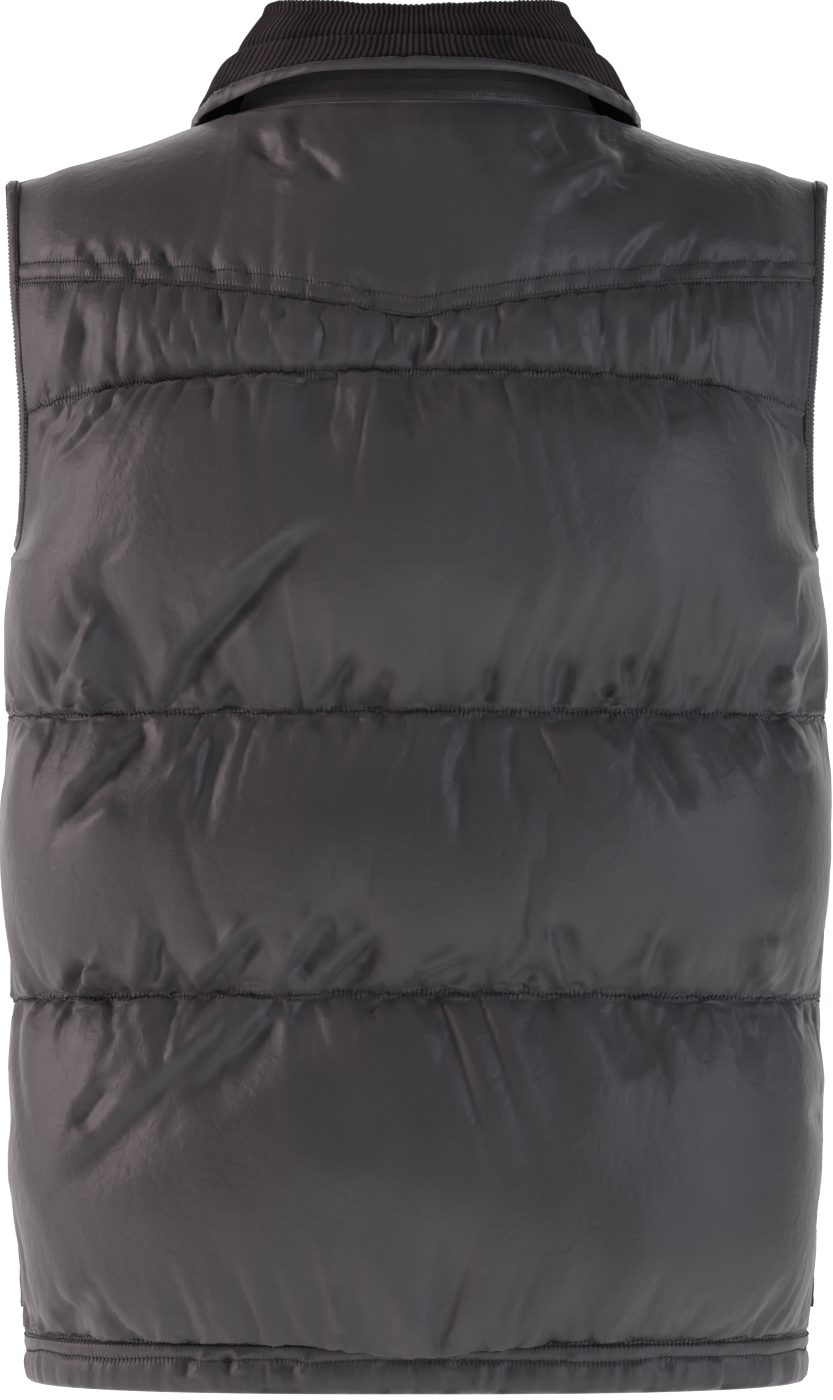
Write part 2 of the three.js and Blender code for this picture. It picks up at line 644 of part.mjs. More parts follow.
// Moves a point of the fall off the shoulder or the chest where it would sink into them.
function clearOfShoulder(p, distance) {
  const side = p[1] >= 0 ? "back" : "front";
  const facing = side === "back" ? 1 : -1;
  const { start, roundness } = SLOPE[side];
  const heightOver = (x, y) => {
    const oval = Math.pow(1 - Math.pow(Math.abs(x) / 224, SECTION_ROUNDNESS), 1 / SECTION_ROUNDNESS);
    const full = readTable(BODY_SECTIONS, "height", side, -60) * oval;
    const ratio = Math.min(0.999, Math.max(0, y) / full);
    return start + (ridgeAt(x) - start) * Math.pow(1 - Math.pow(ratio, roundness), 1 / roundness);
  };
  const [x, y] = [Math.abs(p[0]), Math.abs(p[1])];
  const height = heightOver(x, y);
  const slopeX = heightOver(x + 0.5, y) - heightOver(x - 0.5, y);
  const slopeY = heightOver(x, y + 0.5) - heightOver(x, y - 0.5);
  const normal = unit([-slopeX, -slopeY * facing, 1]);
  const gap = (p[2] - height) * normal[2];
  const wanted = distance + EDGE_THICKNESS + TOP_PUFF * smooth(0, 45, y);
  return gap >= wanted ? p : add(p, normal, wanted - gap);
}

// Middle line of the collar at one share, from the foot of the stand to the edge of the fall.
// part lists where the points lie: on the stand, round the roll, or down the fall.
function collarLine(share, parts) {
  const read = (column) => readTable(COLLAR, "share", column, share);
  const seam = neckSeam(share);
  const fold = [read("foldX"), read("foldY"), read("foldZ")];
  const edge = clearOfShoulder([read("edgeX"), read("edgeY"), read("edgeZ")], COLLAR_LAYER + 0.8);
  const outward = unit([edge[0] - seam.point[0] + 1e-6, edge[1] - seam.point[1], 0]);
  const middle = add(fold, [0, 0, 1], -ROLL_RADIUS);
  const onRoll = (turn) =>
    add(
      add(middle, outward, -ROLL_RADIUS * Math.cos(turn)),
      [0, 0, 1],
      ROLL_RADIUS * Math.sin(turn),
    );
  const standTop = onRoll(0);
  const fallTop = onRoll(Math.PI);
  const rise = unit(minus(standTop, seam.point));
  const turn = Math.hypot(...cross(rise, seam.into));
  const foot = add(seam.point, seam.into, SEAM_GAP + 0.1 + 1.3 * COLLAR_LAYER * turn);
  const standLength = Math.hypot(...minus(standTop, foot));
  const fallLength = Math.hypot(...minus(edge, fallTop));
  const fallOut = unit(cross(cross(outward, [0, 0, 1]), unit(minus(edge, fallTop))));
  const facing = fallOut[0] * outward[0] + fallOut[1] * outward[1] > 0 ? 1 : -1;
  const points = parts.map((part) => {
    if (part.stand !== undefined) {
      const v = part.mm ? Math.min(0.6, part.stand / standLength) : part.stand;
      return mixPoints(foot, standTop, v);
    }
    if (part.roll !== undefined) return onRoll(part.roll * Math.PI);
    const v = part.mm ? 1 - part.fall / fallLength : part.fall;
    const swell = 2.2 * Math.sin(Math.PI * v) - 2.6 * Math.exp(-(((v - 0.42) / 0.09) ** 2));
    const p = add(mixPoints(fallTop, edge, v), fallOut, facing * swell);
    return clearOfShoulder(p, COLLAR_LAYER + 0.8);
  });
  const normals = points.map((p, k) => {
    const direction = unit(
      minus(points[Math.min(points.length - 1, k + 1)], points[Math.max(0, k - 1)]),
    );
    const around = unit(cross(outward, [0, 0, 1]));
    const normal = unit(cross(around, direction));
    const { roll, fall } = parts[k];
    const away = normal[0] * outward[0] + normal[1] * outward[1];
    const wanted = fall !== undefined ? away : roll === undefined ? -away : normal[2];
    const sign = (roll !== undefined && Math.abs(normal[2]) < 0.2 ? away * (roll - 0.5) : wanted) < 0;
    return sign ? [-normal[0], -normal[1], -normal[2]] : normal;
  });
  return { points, normals };
}

const signedShares = (count) => {
  const shares = [];
  for (let k = -count; k <= count; k++) shares.push(k / count);
  return shares;
};
// Rows of points over the collar. over gives the height above the middle line in each row.
function collarRows(shares, parts, over) {
  const lines = shares.map((u) => collarLine(Math.abs(u), parts));
  return parts.map((part, k) =>
    lines.map(({ points, normals }, i) => {
      const p = add(points[k], normals[k], over(part, i));
      return [p[0] * Math.sign(shares[i] || 1), p[1], p[2]];
    }),
  );
}

// The corduroy layer: inside the stand and outside the fall, with raised wales down the fall
const FALL_PARTS = [{ roll: 0.8 }, { fall: 0.26 }, { fall: 0.42 }, { fall: 0.58 }];
const CORDUROY_END = { fall: COLLAR_REVEAL, mm: true };
const STAND_PARTS = [{ stand: 0 }, { stand: 0.3 }, { stand: 0.7 }, { stand: 1 }, { roll: 0.3 }];
const waleRows = collarRows(
  signedShares(WALES_EACH_SIDE * 2),
  [{ stand: 0 }, ...FALL_PARTS, CORDUROY_END],
  (part, i) => COLLAR_LAYER + (i % 2 ? -WALE_RELIEF : WALE_RELIEF) * 0.5,
).slice(1);
const plainShares = signedShares(COLLAR_STEPS);
const standRows = collarRows(plainShares, STAND_PARTS, () => COLLAR_LAYER);
const corduroyBack = collarRows(
  plainShares,
  [...STAND_PARTS, ...FALL_PARTS, CORDUROY_END],
  () => SEAM_GAP / 2,
);
piece("collar_corduroy", wall([...standRows, ...waleRows], corduroyBack), CORDUROY);

// The shell layer: outside the stand, under the fall, and rolled out round the edge of the fall
const BEAD_PARTS = [
  { fall: COLLAR_REVEAL + 0.1, mm: true },
  { fall: COLLAR_REVEAL - 0.6, mm: true, bead: 1.6 },
  { fall: COLLAR_REVEAL * 0.5, mm: true, bead: 2.6 },
  { fall: 0, mm: true, bead: 0.6 },
];
const SHELL_FACE = [...STAND_PARTS, ...FALL_PARTS, ...BEAD_PARTS];
const SHELL_BACK = [
  { stand: 0, thick: 1 },
  { stand: NECK_ROWS * 0.5, mm: true, thick: 1.5 },
  { stand: NECK_ROWS, mm: true, thick: 0.95 },
  { stand: NECK_ROWS + 3, mm: true, thick: 1.1 },
  { stand: 0.7, thick: 1 },
  { stand: 1, thick: 1 },
  { roll: 0.3, thick: 1 },
  { roll: 0.8, thick: 1 },
  { fall: 0.26, thick: 1 },
  { fall: 0.42, thick: 1 },
  { fall: 0.58, thick: 1 },
  { fall: COLLAR_REVEAL, mm: true, thick: 1 },
  { fall: COLLAR_REVEAL * 0.5, mm: true, thick: 1.2 },
  { fall: 0, mm: true, thick: 0.7 },
];
// How far along the front end of the collar each row lies.
function collarMarks(parts) {
  const { points } = collarLine(1, parts);
  const marks = [0];
  for (let k = 1; k < points.length; k++)
    marks.push(marks[k - 1] + Math.hypot(...minus(points[k], points[k - 1])));
  return marks.map((mark) => mark / marks.at(-1));
}
piece(
  "collar_shell",
  wall(
    collarRows(plainShares, SHELL_FACE, (part) => part.bead ?? -SEAM_GAP / 2),
    collarRows(plainShares, SHELL_BACK, (part) => -COLLAR_LAYER * part.thick),
    { outer: collarMarks(SHELL_FACE), inner: collarMarks(SHELL_BACK) },
  ),
  SHELL_CLOTH,
);

// Zip: a tape with its half of the teeth on each front edge. Section rows: distance from the
// centre, and half the thickness there.
const ZIP_SECTION = [
  { x: 0.15, half: 1.4 },
  { x: 2.8, half: 1.4 },
  { x: 3.1, half: 0.6 },
  { x: FRONT_EDGE_X - 0.3, half: 0.6 },
];
function zipStations() {
  return levelsOf("front", 0, LEVELS.front.length).map((level) => {
    const { up, out } = directionsAt("front", 0, level);
    const { point } = insidePoint("front", 0, level);
    const middle = add([0, point[1], point[2]], out, SEAM_THICKNESS / 2);
    return { middle, up: unit([0, up[1], up[2]]), out: unit([0, out[1], out[2]]) };
  });
}
const stations = zipStations();
const zipPath = [...everyOther(stations.slice(0, -2)), stations.at(-1)];
function zipSide(mirror) {
  const outline = [
    ...ZIP_SECTION.map(({ x, half }) => ({ x, off: half })),
    ...[...ZIP_SECTION].reverse().map(({ x, half }) => ({ x, off: -half })),
  ];
  return run(
    zipPath.map(({ middle, out }) =>
      outline.map(({ x, off }) => {
        const p = add(middle, out, off);
        return [x * mirror, p[1], p[2]];
      }),
    ),
    false,
  );
}
piece("zip_tape_left", zipSide(1), ZIP_TAPE);
piece("zip_tape_right", zipSide(-1), ZIP_TAPE);

// Slider at the top of the zip, and its pull, which turns on the slider's bow.
const SLIDER_LENGTH = 13;
const SLIDER_WIDTH = 9.4;
const SLIDER_BELOW_NECK = 20; // along the zip, down from the neckline
const PLATE = 1.4; // thickness of the slider's plates
const BOW_WIDTH = 2.6;
const PIVOT_LIFT = 5.2; // of the bow's hole above the middle of the zip
const PIVOT_HOLE = 2.6;
const PULL_LENGTH = 30;
const PULL_WIDTH = 7.6;
const PULL_THICKNESS = 1.5;

const top = stations.at(-1).middle;
const next = stations.at(-4).middle;
const zipUp = unit(minus(top, next));
const sliderAt = add(top, zipUp, -SLIDER_BELOW_NECK);
const zipTilt = Math.atan2(zipUp[1], zipUp[2]); // turn about X that lays a piece along the zip

const wasm = await Module();
wasm.setup();
function solidOf(geometry) {
  const points = [];
  const seen = new Map();
  const index = [];
  const from = geometry.getAttribute("position");
  const order = geometry.index ? [...geometry.index.array] : [...Array(from.count).keys()];
  for (const i of order) {
    const p = [from.getX(i), from.getY(i), from.getZ(i)];
    const key = p.map((v) => Math.round(v * 1e4)).join(" ");
    if (!seen.has(key)) {
      seen.set(key, points.length / 3);
      points.push(...p);
    }
    index.push(seen.get(key));
  }
  return new wasm.Manifold(
    new wasm.Mesh({
      numProp: 3,
      vertProperties: new Float32Array(points),
      triVerts: new Uint32Array(index),
    }),
  );
}
function geometryOf(solid) {
  const made = solid.getMesh();
  const geometry = new THREE.BufferGeometry();
  geometry.setAttribute("position", new THREE.Float32BufferAttribute(made.vertProperties, 3));
  geometry.setIndex([...made.triVerts]);
  geometry.computeVertexNormals();
  return geometry;
}
const block = (x, y, z, at) => {
  const geometry = new THREE.BoxGeometry(x, y, z);
  geometry.translate(...at);
  return solidOf(geometry);
};

// In the slider's own frame the zip runs along Z and the outside is towards -Y.
function sliderBody() {
  const face = -(1.4 + 0.4 + PLATE / 2);
  const side = SLIDER_WIDTH / 2 - 0.5;
  let body = block(SLIDER_WIDTH, PLATE, SLIDER_LENGTH, [0, face, 0]);
  for (const x of [-side, side])
    body = body.add(block(1, 1.9, SLIDER_LENGTH, [x, -1.95, 0]));
  const bow = new THREE.Shape();
  bow.absellipse(0, 0, 5.6, 3.1, 0, Math.PI * 2, false, 0);
  const hole = new THREE.Path();
  hole.absellipse(0.6, 0, PIVOT_HOLE, PIVOT_HOLE / 2, 0, Math.PI * 2, true, 0);
  bow.holes.push(hole);
  const arch = new THREE.ExtrudeGeometry(bow, {
    depth: BOW_WIDTH,
    bevelEnabled: false,
    curveSegments: 8,
  });
  arch.translate(0, 0, -BOW_WIDTH / 2);
  arch.rotateY(-Math.PI / 2);
  arch.translate(0, -PIVOT_LIFT, 0);
  return geometryOf(body.add(solidOf(arch)));
}
const slider = piece("zip_slider", sliderBody(), ZIP_METAL);
slider.position.set(...sliderAt);
slider.rotation.x = -zipTilt;

// The pull: a tab with a window at its head, whose top bar passes through the bow.
function pullTab() {
  const outline = new THREE.Shape();
  const half = PULL_WIDTH / 2;
  outline.moveTo(-half, 0.75);
  outline.lineTo(-half + 0.6, -PULL_LENGTH + 2.2);
  outline.lineTo(-half + 2.2, -PULL_LENGTH + 0.75);
  outline.lineTo(half - 2.2, -PULL_LENGTH + 0.75);
  outline.lineTo(half - 0.6, -PULL_LENGTH + 2.2);
  outline.lineTo(half, 0.75);
  const window = new THREE.Path();
  window.moveTo(-half + 1.3, -0.75);
  window.lineTo(half - 1.3, -0.75);
  window.lineTo(half - 1.5, -8.6);
  window.lineTo(-half + 1.5, -8.6);
  outline.holes.push(window);
  const geometry = new THREE.ExtrudeGeometry(outline, {
    depth: PULL_THICKNESS,
    bevelEnabled: false,
  });
  geometry.translate(0, 0, -PULL_THICKNESS / 2);
  geometry.rotateX(Math.PI / 2);
  return geometry;
}
const pull = piece("zip_pull", geometryOf(solidOf(pullTab())), ZIP_METAL);
pull.position.set(...add(sliderAt, [0, -Math.cos(zipTilt), Math.sin(zipTilt)], PIVOT_LIFT));
pull.rotation.x = -zipTilt;

// Hand pockets: a slanted welt on each front, its lower end close to the side seam.
// Each row is a place along the welt: share of the front, and share of the lowest channel.
const WELT = [
  { at: 0, s: 0.64, down: 0.2 },
  { at: 0.5, s: 0.8, down: 0.5 },
  { at: 1, s: 0.955, down: 0.84 },
];
const WELT_WIDTH = 20;
const WELT_THICKNESS = 3.2;
const WELT_STEPS = 22;
const WELT_GAP = 1.05;

// A place on the outside of a front between its grid points, with the outward direction.
function outsideOfFront(s, level) {
  const rows = CHANNELS.low.rows;
  const column = Math.min(FRONT_COLUMNS - 1, Math.floor(s * FRONT_COLUMNS));
  const row = Math.min(rows - 1, Math.floor((level - 1) * rows));
  const corner = (c, r) =>
    panelPoint("front", c / FRONT_COLUMNS, 1 + r / rows, 1, c, [1, 5]).outside;
  const across = s * FRONT_COLUMNS - column;
  const up = (level - 1) * rows - row;
  const lower = mixPoints(corner(column, row), corner(column + 1, row), across);
  const upper = mixPoints(corner(column, row + 1), corner(column + 1, row + 1), across);
  return { point: mixPoints(lower, upper, up), out: directionsAt("front", s, level).out };
}
function pocketWelt(mirror) {
  const outer = [];
  const inner = [];
  for (let i = 0; i <= WELT_STEPS; i++) {
    const at = i / WELT_STEPS;
    const s = readTable(WELT, "at", "s", at);
    const level = 2 - readTable(WELT, "at", "down", at);
    const here = outsideOfFront(s, level);
    const beside = outsideOfFront(s - 0.02, level);
    const outerRow = [];
    const innerRow = [];
    for (const share of [0, 0.33, 0.67, 1]) {
      const step = (WELT_WIDTH * share) / Math.hypot(...minus(here.point, beside.point));
      const place = outsideOfFront(s - 0.02 * step, level + 0.06 * share);
      const turned = (p) => [p[0] * mirror, p[1], p[2]];
      const crown = share > 0 && share < 1 ? WELT_THICKNESS + 0.6 : WELT_THICKNESS - 0.4;
      outerRow.push(turned(add(place.point, place.out, crown + WELT_GAP)));
      innerRow.push(turned(add(place.point, place.out, WELT_GAP)));
    }
    outer.push(outerRow);
    inner.push(innerRow);
  }
  return wall(outer, inner);
}
piece("pocket_welt_left", pocketWelt(1), SHELL_CLOTH);
piece("pocket_welt_right", pocketWelt(-1), SHELL_CLOTH);

export default vest;
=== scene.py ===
import bpy
import math
import numpy as np
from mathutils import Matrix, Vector


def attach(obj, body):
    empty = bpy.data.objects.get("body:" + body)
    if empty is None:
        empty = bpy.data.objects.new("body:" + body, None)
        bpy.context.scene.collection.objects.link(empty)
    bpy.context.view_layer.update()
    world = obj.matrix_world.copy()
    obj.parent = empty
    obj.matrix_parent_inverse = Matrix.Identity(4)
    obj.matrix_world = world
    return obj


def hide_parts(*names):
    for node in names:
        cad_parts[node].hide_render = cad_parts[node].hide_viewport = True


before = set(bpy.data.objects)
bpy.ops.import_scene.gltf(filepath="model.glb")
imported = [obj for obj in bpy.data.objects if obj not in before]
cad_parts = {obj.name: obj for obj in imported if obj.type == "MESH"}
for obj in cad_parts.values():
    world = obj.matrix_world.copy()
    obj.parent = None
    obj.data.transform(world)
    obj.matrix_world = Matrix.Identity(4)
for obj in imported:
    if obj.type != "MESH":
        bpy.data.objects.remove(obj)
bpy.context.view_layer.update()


# Camera: square on to the back from four metres, level with the middle of the vest, with a
# long lens, as a product photographer shoots a garment that is to be cut out.
def linked(name, data):
    """An object with this data, put in the scene."""
    made = bpy.data.objects.new(name, data)
    bpy.context.scene.collection.objects.link(made)
    return made


CAMERA_DISTANCE, CAMERA_HEIGHT = 4000, -320
camera = linked("camera", bpy.data.cameras.new("camera"))
camera.data.lens = 188.8
camera.data.sensor_width = 36
camera.location = (0, CAMERA_DISTANCE / 1000, CAMERA_HEIGHT / 1000)
camera.rotation_euler = (math.pi / 2, 0, math.pi)
bpy.context.scene.camera = camera
bpy.context.scene.view_settings.view_transform = "Standard"


# Studio: the vest hangs in a round white room. A white card below and behind it, which the camera
# doesn't see, throws light back onto it, and large soft boxes light it. The box on the wearer's
# left is the strongest and slightly pink.
def srgb(code):
    """Linear colour of an sRGB hex code."""
    values = [int(code[i : i + 2], 16) / 255 for i in (1, 3, 5)]
    return [v / 12.92 if v <= 0.04045 else ((v + 0.055) / 1.055) ** 2.4 for v in values] + [1]


def add_node(tree, kind, inputs=None, **settings):
    """A node with its settings; an input takes a value or the output that feeds it."""
    made = tree.nodes.new(kind)
    for name, value in settings.items():
        setattr(made, name, value)
    for name, value in (inputs or {}).items():
        if isinstance(value, bpy.types.NodeSocket):
            tree.links.new(value, made.inputs[name])
        else:
            made.inputs[name].default_value = value
    return made


def noise(tree, place, scale, detail=3.0, **more):
    inputs = {"Vector": place, "Scale": scale, "Detail": detail, **more}
    return add_node(tree, "ShaderNodeTexNoise", inputs).outputs["Fac"]


def waves(tree, place, scale, direction):
    inputs = {"Vector": place, "Scale": scale}
    node = add_node(tree, "ShaderNodeTexWave", inputs, bands_direction=direction)
    return node.outputs["Fac"]


def two_tone(tree, value, dark, light, from_value=0.0, to_value=1.0):
    """A colour that goes from dark to light as a value grows."""
    ramp = add_node(tree, "ShaderNodeValToRGB", {"Fac": value})
    first, last = ramp.color_ramp.elements
    first.position, first.color = from_value, srgb(dark)
    last.position, last.color = to_value, srgb(light)
    return ramp.outputs["Color"]


def within(tree, value, low, high):
    """A value from 0 to 1, brought between low and high."""
    inputs = {"Value": value, "To Min": low, "To Max": high}
    return add_node(tree, "ShaderNodeMapRange", inputs).outputs["Result"]


def calculated(tree, operation, *values):
    """The result of a sum on plain numbers; an input takes a value or the output that feeds it."""
    return add_node(tree, "ShaderNodeMath", dict(enumerate(values)), operation=operation).outputs[0]


def scaled(tree, vector, factor):
    inputs = {0: vector, "Scale": factor}
    return add_node(tree, "ShaderNodeVectorMath", inputs, operation="SCALE").outputs["Vector"]


def bump(tree, height, strength, distance, **below):
    """The direction of a surface with a fine relief of this height in metres."""
    inputs = {"Height": height, "Strength": strength, "Distance": distance, **below}
    return add_node(tree, "ShaderNodeBump", inputs).outputs["Normal"]


def new_material(name):
    """A material with its node tree and the inputs of its surface."""
    material = bpy.data.materials.new(name)
    material.use_nodes = True
    return material, material.node_tree, material.node_tree.nodes["Principled BSDF"].inputs


def smooth_mesh(name, points, faces, materials):
    """A smoothly shaded mesh of points in metres."""
    mesh = bpy.data.meshes.new(name)
    mesh.from_pydata(points, [], faces)
    mesh.polygons.foreach_set("use_smooth", [True] * len(mesh.polygons))
    for material in materials:
        mesh.materials.append(material)
    return mesh


def white_paper(name, glow):
    material, _, surface = new_material(name)
    surface["Base Color"].default_value = srgb("#f7f7f7")
    surface["Roughness"].default_value = 0.9
    surface["Emission Color"].default_value = srgb("#ffffff")
    surface["Emission Strength"].default_value = glow
    return material


FLOOR_HEIGHT = -1.15


def swept_line(near_end, bend, radius, top):
    """Side view of a floor that curves up into a wall: pairs of distance and height."""
    line = [(near_end, FLOOR_HEIGHT), (bend, FLOOR_HEIGHT)]
    for turn in np.linspace(0.1, math.pi / 2, 12):
        rise = radius * (1 - math.cos(turn))
        line.append((bend + radius * math.sin(turn), FLOOR_HEIGHT + rise))
    return line + [(bend + radius, top)]


def quads_of(ids):
    """The four-sided faces of a grid of point numbers."""
    corners = [ids[:-1, :-1], ids[:-1, 1:], ids[1:, 1:], ids[1:, :-1]]
    return np.stack(corners, axis=-1).reshape(-1, 4)


card_line = swept_line(-3.6, 1.6, 0.7, top=2.6)
card_points = [(x, -distance, height) for distance, height in card_line for x in (-4, 4)]
card_faces = quads_of(np.arange(len(card_points)).reshape(-1, 2)).tolist()
card_white = white_paper("matt_white_card", 0.6)
card = linked("studio_card", smooth_mesh("studio_card", card_points, card_faces, [card_white]))
card.visible_camera = False

ROOM_SIDES = 96
room_line = swept_line(0, 8.0, 1.5, top=7.0)
room_turns = np.linspace(0, 2 * math.pi, ROOM_SIDES, endpoint=False)
room_points = [(r * math.cos(a), r * math.sin(a), z) for r, z in room_line for a in room_turns]
room_ids = np.arange(len(room_points)).reshape(-1, ROOM_SIDES)
room_faces = quads_of(np.hstack([room_ids, room_ids[:, :1]])).tolist()
room_white = white_paper("matt_white_room", 1.0)
room = linked("studio_room", smooth_mesh("studio_room", room_points, room_faces, [room_white]))
for kind_of_ray in ("diffuse", "glossy", "transmission", "volume_scatter", "shadow"):
    setattr(room, f"visible_{kind_of_ray}", False)

world = bpy.data.worlds.new("studio")
world.use_nodes = True
background = world.node_tree.nodes["Background"].inputs
background["Color"].default_value = srgb("#fbfbff")
background["Strength"].default_value = 0.08
bpy.context.scene.world = world

VEST_MIDDLE = Vector((0, 0, -0.32))
SOFT_BOXES = [  # name, place, size, watts and colour
    ("box_left", (3.0, 0.35, 0.45), (1.1, 1.8), 76, "#ffeaee"),
    ("box_right", (-2.35, 1.95, 0.3), (1.2, 1.8), 40, "#f3f4ff"),
    ("box_camera", (0.7, 3.4, 0.0), (1.2, 1.2), 1, "#ffffff"),
    ("box_above", (0.3, 1.5, 1.9), (1.4, 1.0), 8, "#ffffff"),
    ("box_front", (0.0, -2.0, 1.0), (2.2, 1.6), 20, "#ffffff"),
]
for name, spot, size, watts, colour in SOFT_BOXES:
    light = bpy.data.lights.new(name, "AREA")
    light.shape = "RECTANGLE"
    light.size, light.size_y = size
    light.energy = watts
    light.color = srgb(colour)[:3]
    lamp = linked(name, light)
    lamp.location = spot
    lamp.rotation_euler = (VEST_MIDDLE - Vector(spot)).to_track_quat("-Z", "Y").to_euler()
    lamp.visible_camera = False


# The vest's plain inside, as it is filled out by the wearer's chest. It is one smooth form:
# oval sections up to the armpits, then a slope up to the shoulder ridge.
NECK_HALF_WIDTH = 98
FRONT_EDGE_X = 7  # half of the gap between the two front edges
ARMPIT_HEIGHT = -240
SEAM_GAP = 0.3
SIDES = (("left", 1), ("right", -1))  # the wearer's left lies on +X
BODY_SECTIONS = np.array([  # height, half-width, depth of the back, depth of the front
    (-689, 207.0, 115, 112), (-647, 209.6, 117, 116), (-592, 212.8, 118, 119),
    (-538, 214.4, 117, 122), (-462, 216.0, 116, 124), (-374, 218.2, 118, 124),
    (-309, 218.2, 120, 124), (-276, 216.2, 121, 123), (-240, 212.0, 122, 121),
    (-226, 214.5, 122, 120), (-200, 218.0, 122, 119), (-166, 221.0, 122, 119),
    (-118, 223.0, 122, 119), (60, 226.0, 122, 119),
])
SHOULDER_RIDGE = np.array([  # distance from the centre, height
    (0, 42), (30, 37), (60, 22), (80, 7.5), (98, -5), (125, -13.4), (160, -24.8), (230, -47.2),
])
ARMHOLE_EDGE = np.array([  # height, half-width of the back there, half-width of the front
    (-240, 212.0, 212.0), (-236, 209.4, 207.0), (-226, 207.0, 201.0), (-209, 205.4, 195.6),
    (-189, 204.8, 192.6), (-166, 205.0, 191.6), (-140, 206.8, 193.8), (-118, 208.6, 198.0),
    (-97, 210.6, 203.0), (-75, 212.6, 208.4), (-38, 215.0, 215.0),
])
SLOPE = {"back": (-200, 2.0), "front": (-240, 1.6)}  # where the slope starts, its roundness
LINES = {  # height of each line of stitching at the centre and at the edge, and its bend
    "hem_edge": (-687, -689, lambda s: s**2),
    "hem_seam": (-661, -663, lambda s: s**2),
    "low_quilt": (-475, -484, lambda s: s**2),
    "mid_quilt": (-326, -330, lambda s: s**2),
    "high_quilt": (-146, -166, lambda s: s**3),
    "yoke_seam": (-119, -96, lambda s: 1 - (1 - s) ** 2),
}
HEM_STITCH = 0.33  # share of the way down the hem band where its row of stitches runs
CHANNELS = {  # top line, bottom line, fullness at the centre, fullness at the side
    "hem": ("hem_seam", "hem_edge", 2.4, 1.8),
    "low": ("low_quilt", "hem_seam", 17, 3),
    "mid": ("mid_quilt", "low_quilt", 18, 3),
    "chest": ("high_quilt", "mid_quilt", 19, 3),
    "under_yoke": ("yoke_seam", "high_quilt", 8, 5),
}
LEVELS = {  # the parts that one counts on the way up, on each side
    "back": ["hem", "low", "mid", "chest", "under_yoke", "top"],
    "front": ["hem", "low", "mid", "chest", "top"],
}


def read_table(table, at, column):
    """A column of a table between its rows, on a smooth curve without overshoot."""
    xs, ys = table[:, 0], table[:, column]
    at = np.clip(np.asarray(at, float), xs[0], xs[-1])
    steps = np.diff(xs)
    slopes = np.diff(ys) / steps
    before, after = slopes[:-1], slopes[1:]
    same = before * after > 0
    inner = np.where(same, 2 * before * after / np.where(same, before + after, 1), 0)
    tangents = np.concatenate([[slopes[0]], inner, [slopes[-1]]])
    i = np.clip(np.searchsorted(xs, at) - 1, 0, len(steps) - 1)
    t = (at - xs[i]) / steps[i]
    return (
        ys[i] * (2 * t**3 - 3 * t**2 + 1)
        + tangents[i] * steps[i] * (t**3 - 2 * t**2 + t)
        + ys[i + 1] * (3 * t**2 - 2 * t**3)
        + tangents[i + 1] * steps[i] * (t**3 - t**2)
    )


def ease(a, b, v):
    """0 at a, 1 at b, smooth between them."""
    t = np.clip((v - a) / (b - a), 0, 1)
    return t * t * (3 - 2 * t)


def mix(a, b, t):
    return a + (b - a) * t


def unit(v):
    return v / np.linalg.norm(v, axis=-1, keepdims=True)


def hill(x, middle, reach):
    """1 at the middle, falling off smoothly on both sides."""
    return np.exp(-(((x - middle) / reach) ** 2))


def line_height(name, s):
    centre, edge, bend = LINES[name]
    return mix(centre, edge, bend(s))


def depth_at(side, x, height):
    """How far the inside lies in front of or behind the plane of the side seams."""
    column = 2 if side == "back" else 3
    across = np.minimum(1, np.abs(x) / read_table(BODY_SECTIONS, height, 1))
    full = read_table(BODY_SECTIONS, height, column) * (1 - across**2.4) ** (1 / 2.4)
    start, roundness = SLOPE[side]
    ridge = read_table(SHOULDER_RIDGE, np.abs(x), 1)
    up = np.clip((height - start) / (ridge - start), 0, 1)
    return full * (1 - up**roundness) ** (1 / roundness)


def across_row(side, s, from_x, to_x, height):
    """x at shares s of a level row, so that the columns are evenly spaced round the body."""
    half_width = float(read_table(BODY_SECTIONS, height, 1))
    depth = float(read_table(BODY_SECTIONS, height, 2 if side == "back" else 3))
    angles = np.linspace(
        math.asin((from_x / half_width) ** 1.2), math.asin(min(1, (to_x / half_width) ** 1.2)), 41
    )
    x = half_width * np.sin(angles) ** (1 / 1.2)
    y = depth * np.abs(np.cos(angles)) ** (1 / 1.2)
    lengths = np.concatenate([[0], np.cumsum(np.hypot(np.diff(x), np.diff(y)))])
    x[0] = from_x
    return np.interp(s * lengths[-1], lengths, x)


def channel_row(side, name, s, share):
    """Points of the inside at a share of the way down a channel, for an array of s."""
    top, bottom = CHANNELS[name][:2]
    edge_top, edge_bottom = LINES[top][1], LINES[bottom][1]
    centre_share = share if name == "hem" else (1 - math.cos(math.pi * share)) / 2
    edge_height = mix(edge_top, edge_bottom, centre_share)
    if name == "chest":
        armpit = 5 / 9
        if share < armpit:
            edge_height = mix(edge_top, ARMPIT_HEIGHT, math.sin(math.pi / 2 * share / armpit))
        else:
            edge_height = mix(ARMPIT_HEIGHT, edge_bottom, (share - armpit) / (1 - armpit))
    edge_share = (edge_height - edge_top) / (edge_bottom - edge_top)
    down = mix(centre_share, edge_share, s**4)
    height = mix(line_height(top, s), line_height(bottom, s), down)
    if edge_height > ARMPIT_HEIGHT:
        edge_x = float(read_table(ARMHOLE_EDGE, edge_height, 1 if side == "back" else 2))
    else:
        edge_x = float(read_table(BODY_SECTIONS, edge_height, 1))
    x = across_row(side, s, FRONT_EDGE_X if side == "front" else 0, edge_x, edge_height)
    y = depth_at(side, x, height) * (1 if side == "back" else -1)
    return np.stack([x, y, height], axis=-1), down


def neck_height(side, x):
    across = np.minimum(1, x / NECK_HALF_WIDTH)
    if side == "back":
        return -2 - 3 * across**3
    return -5 - 75 * (1 - across**2) ** 0.55


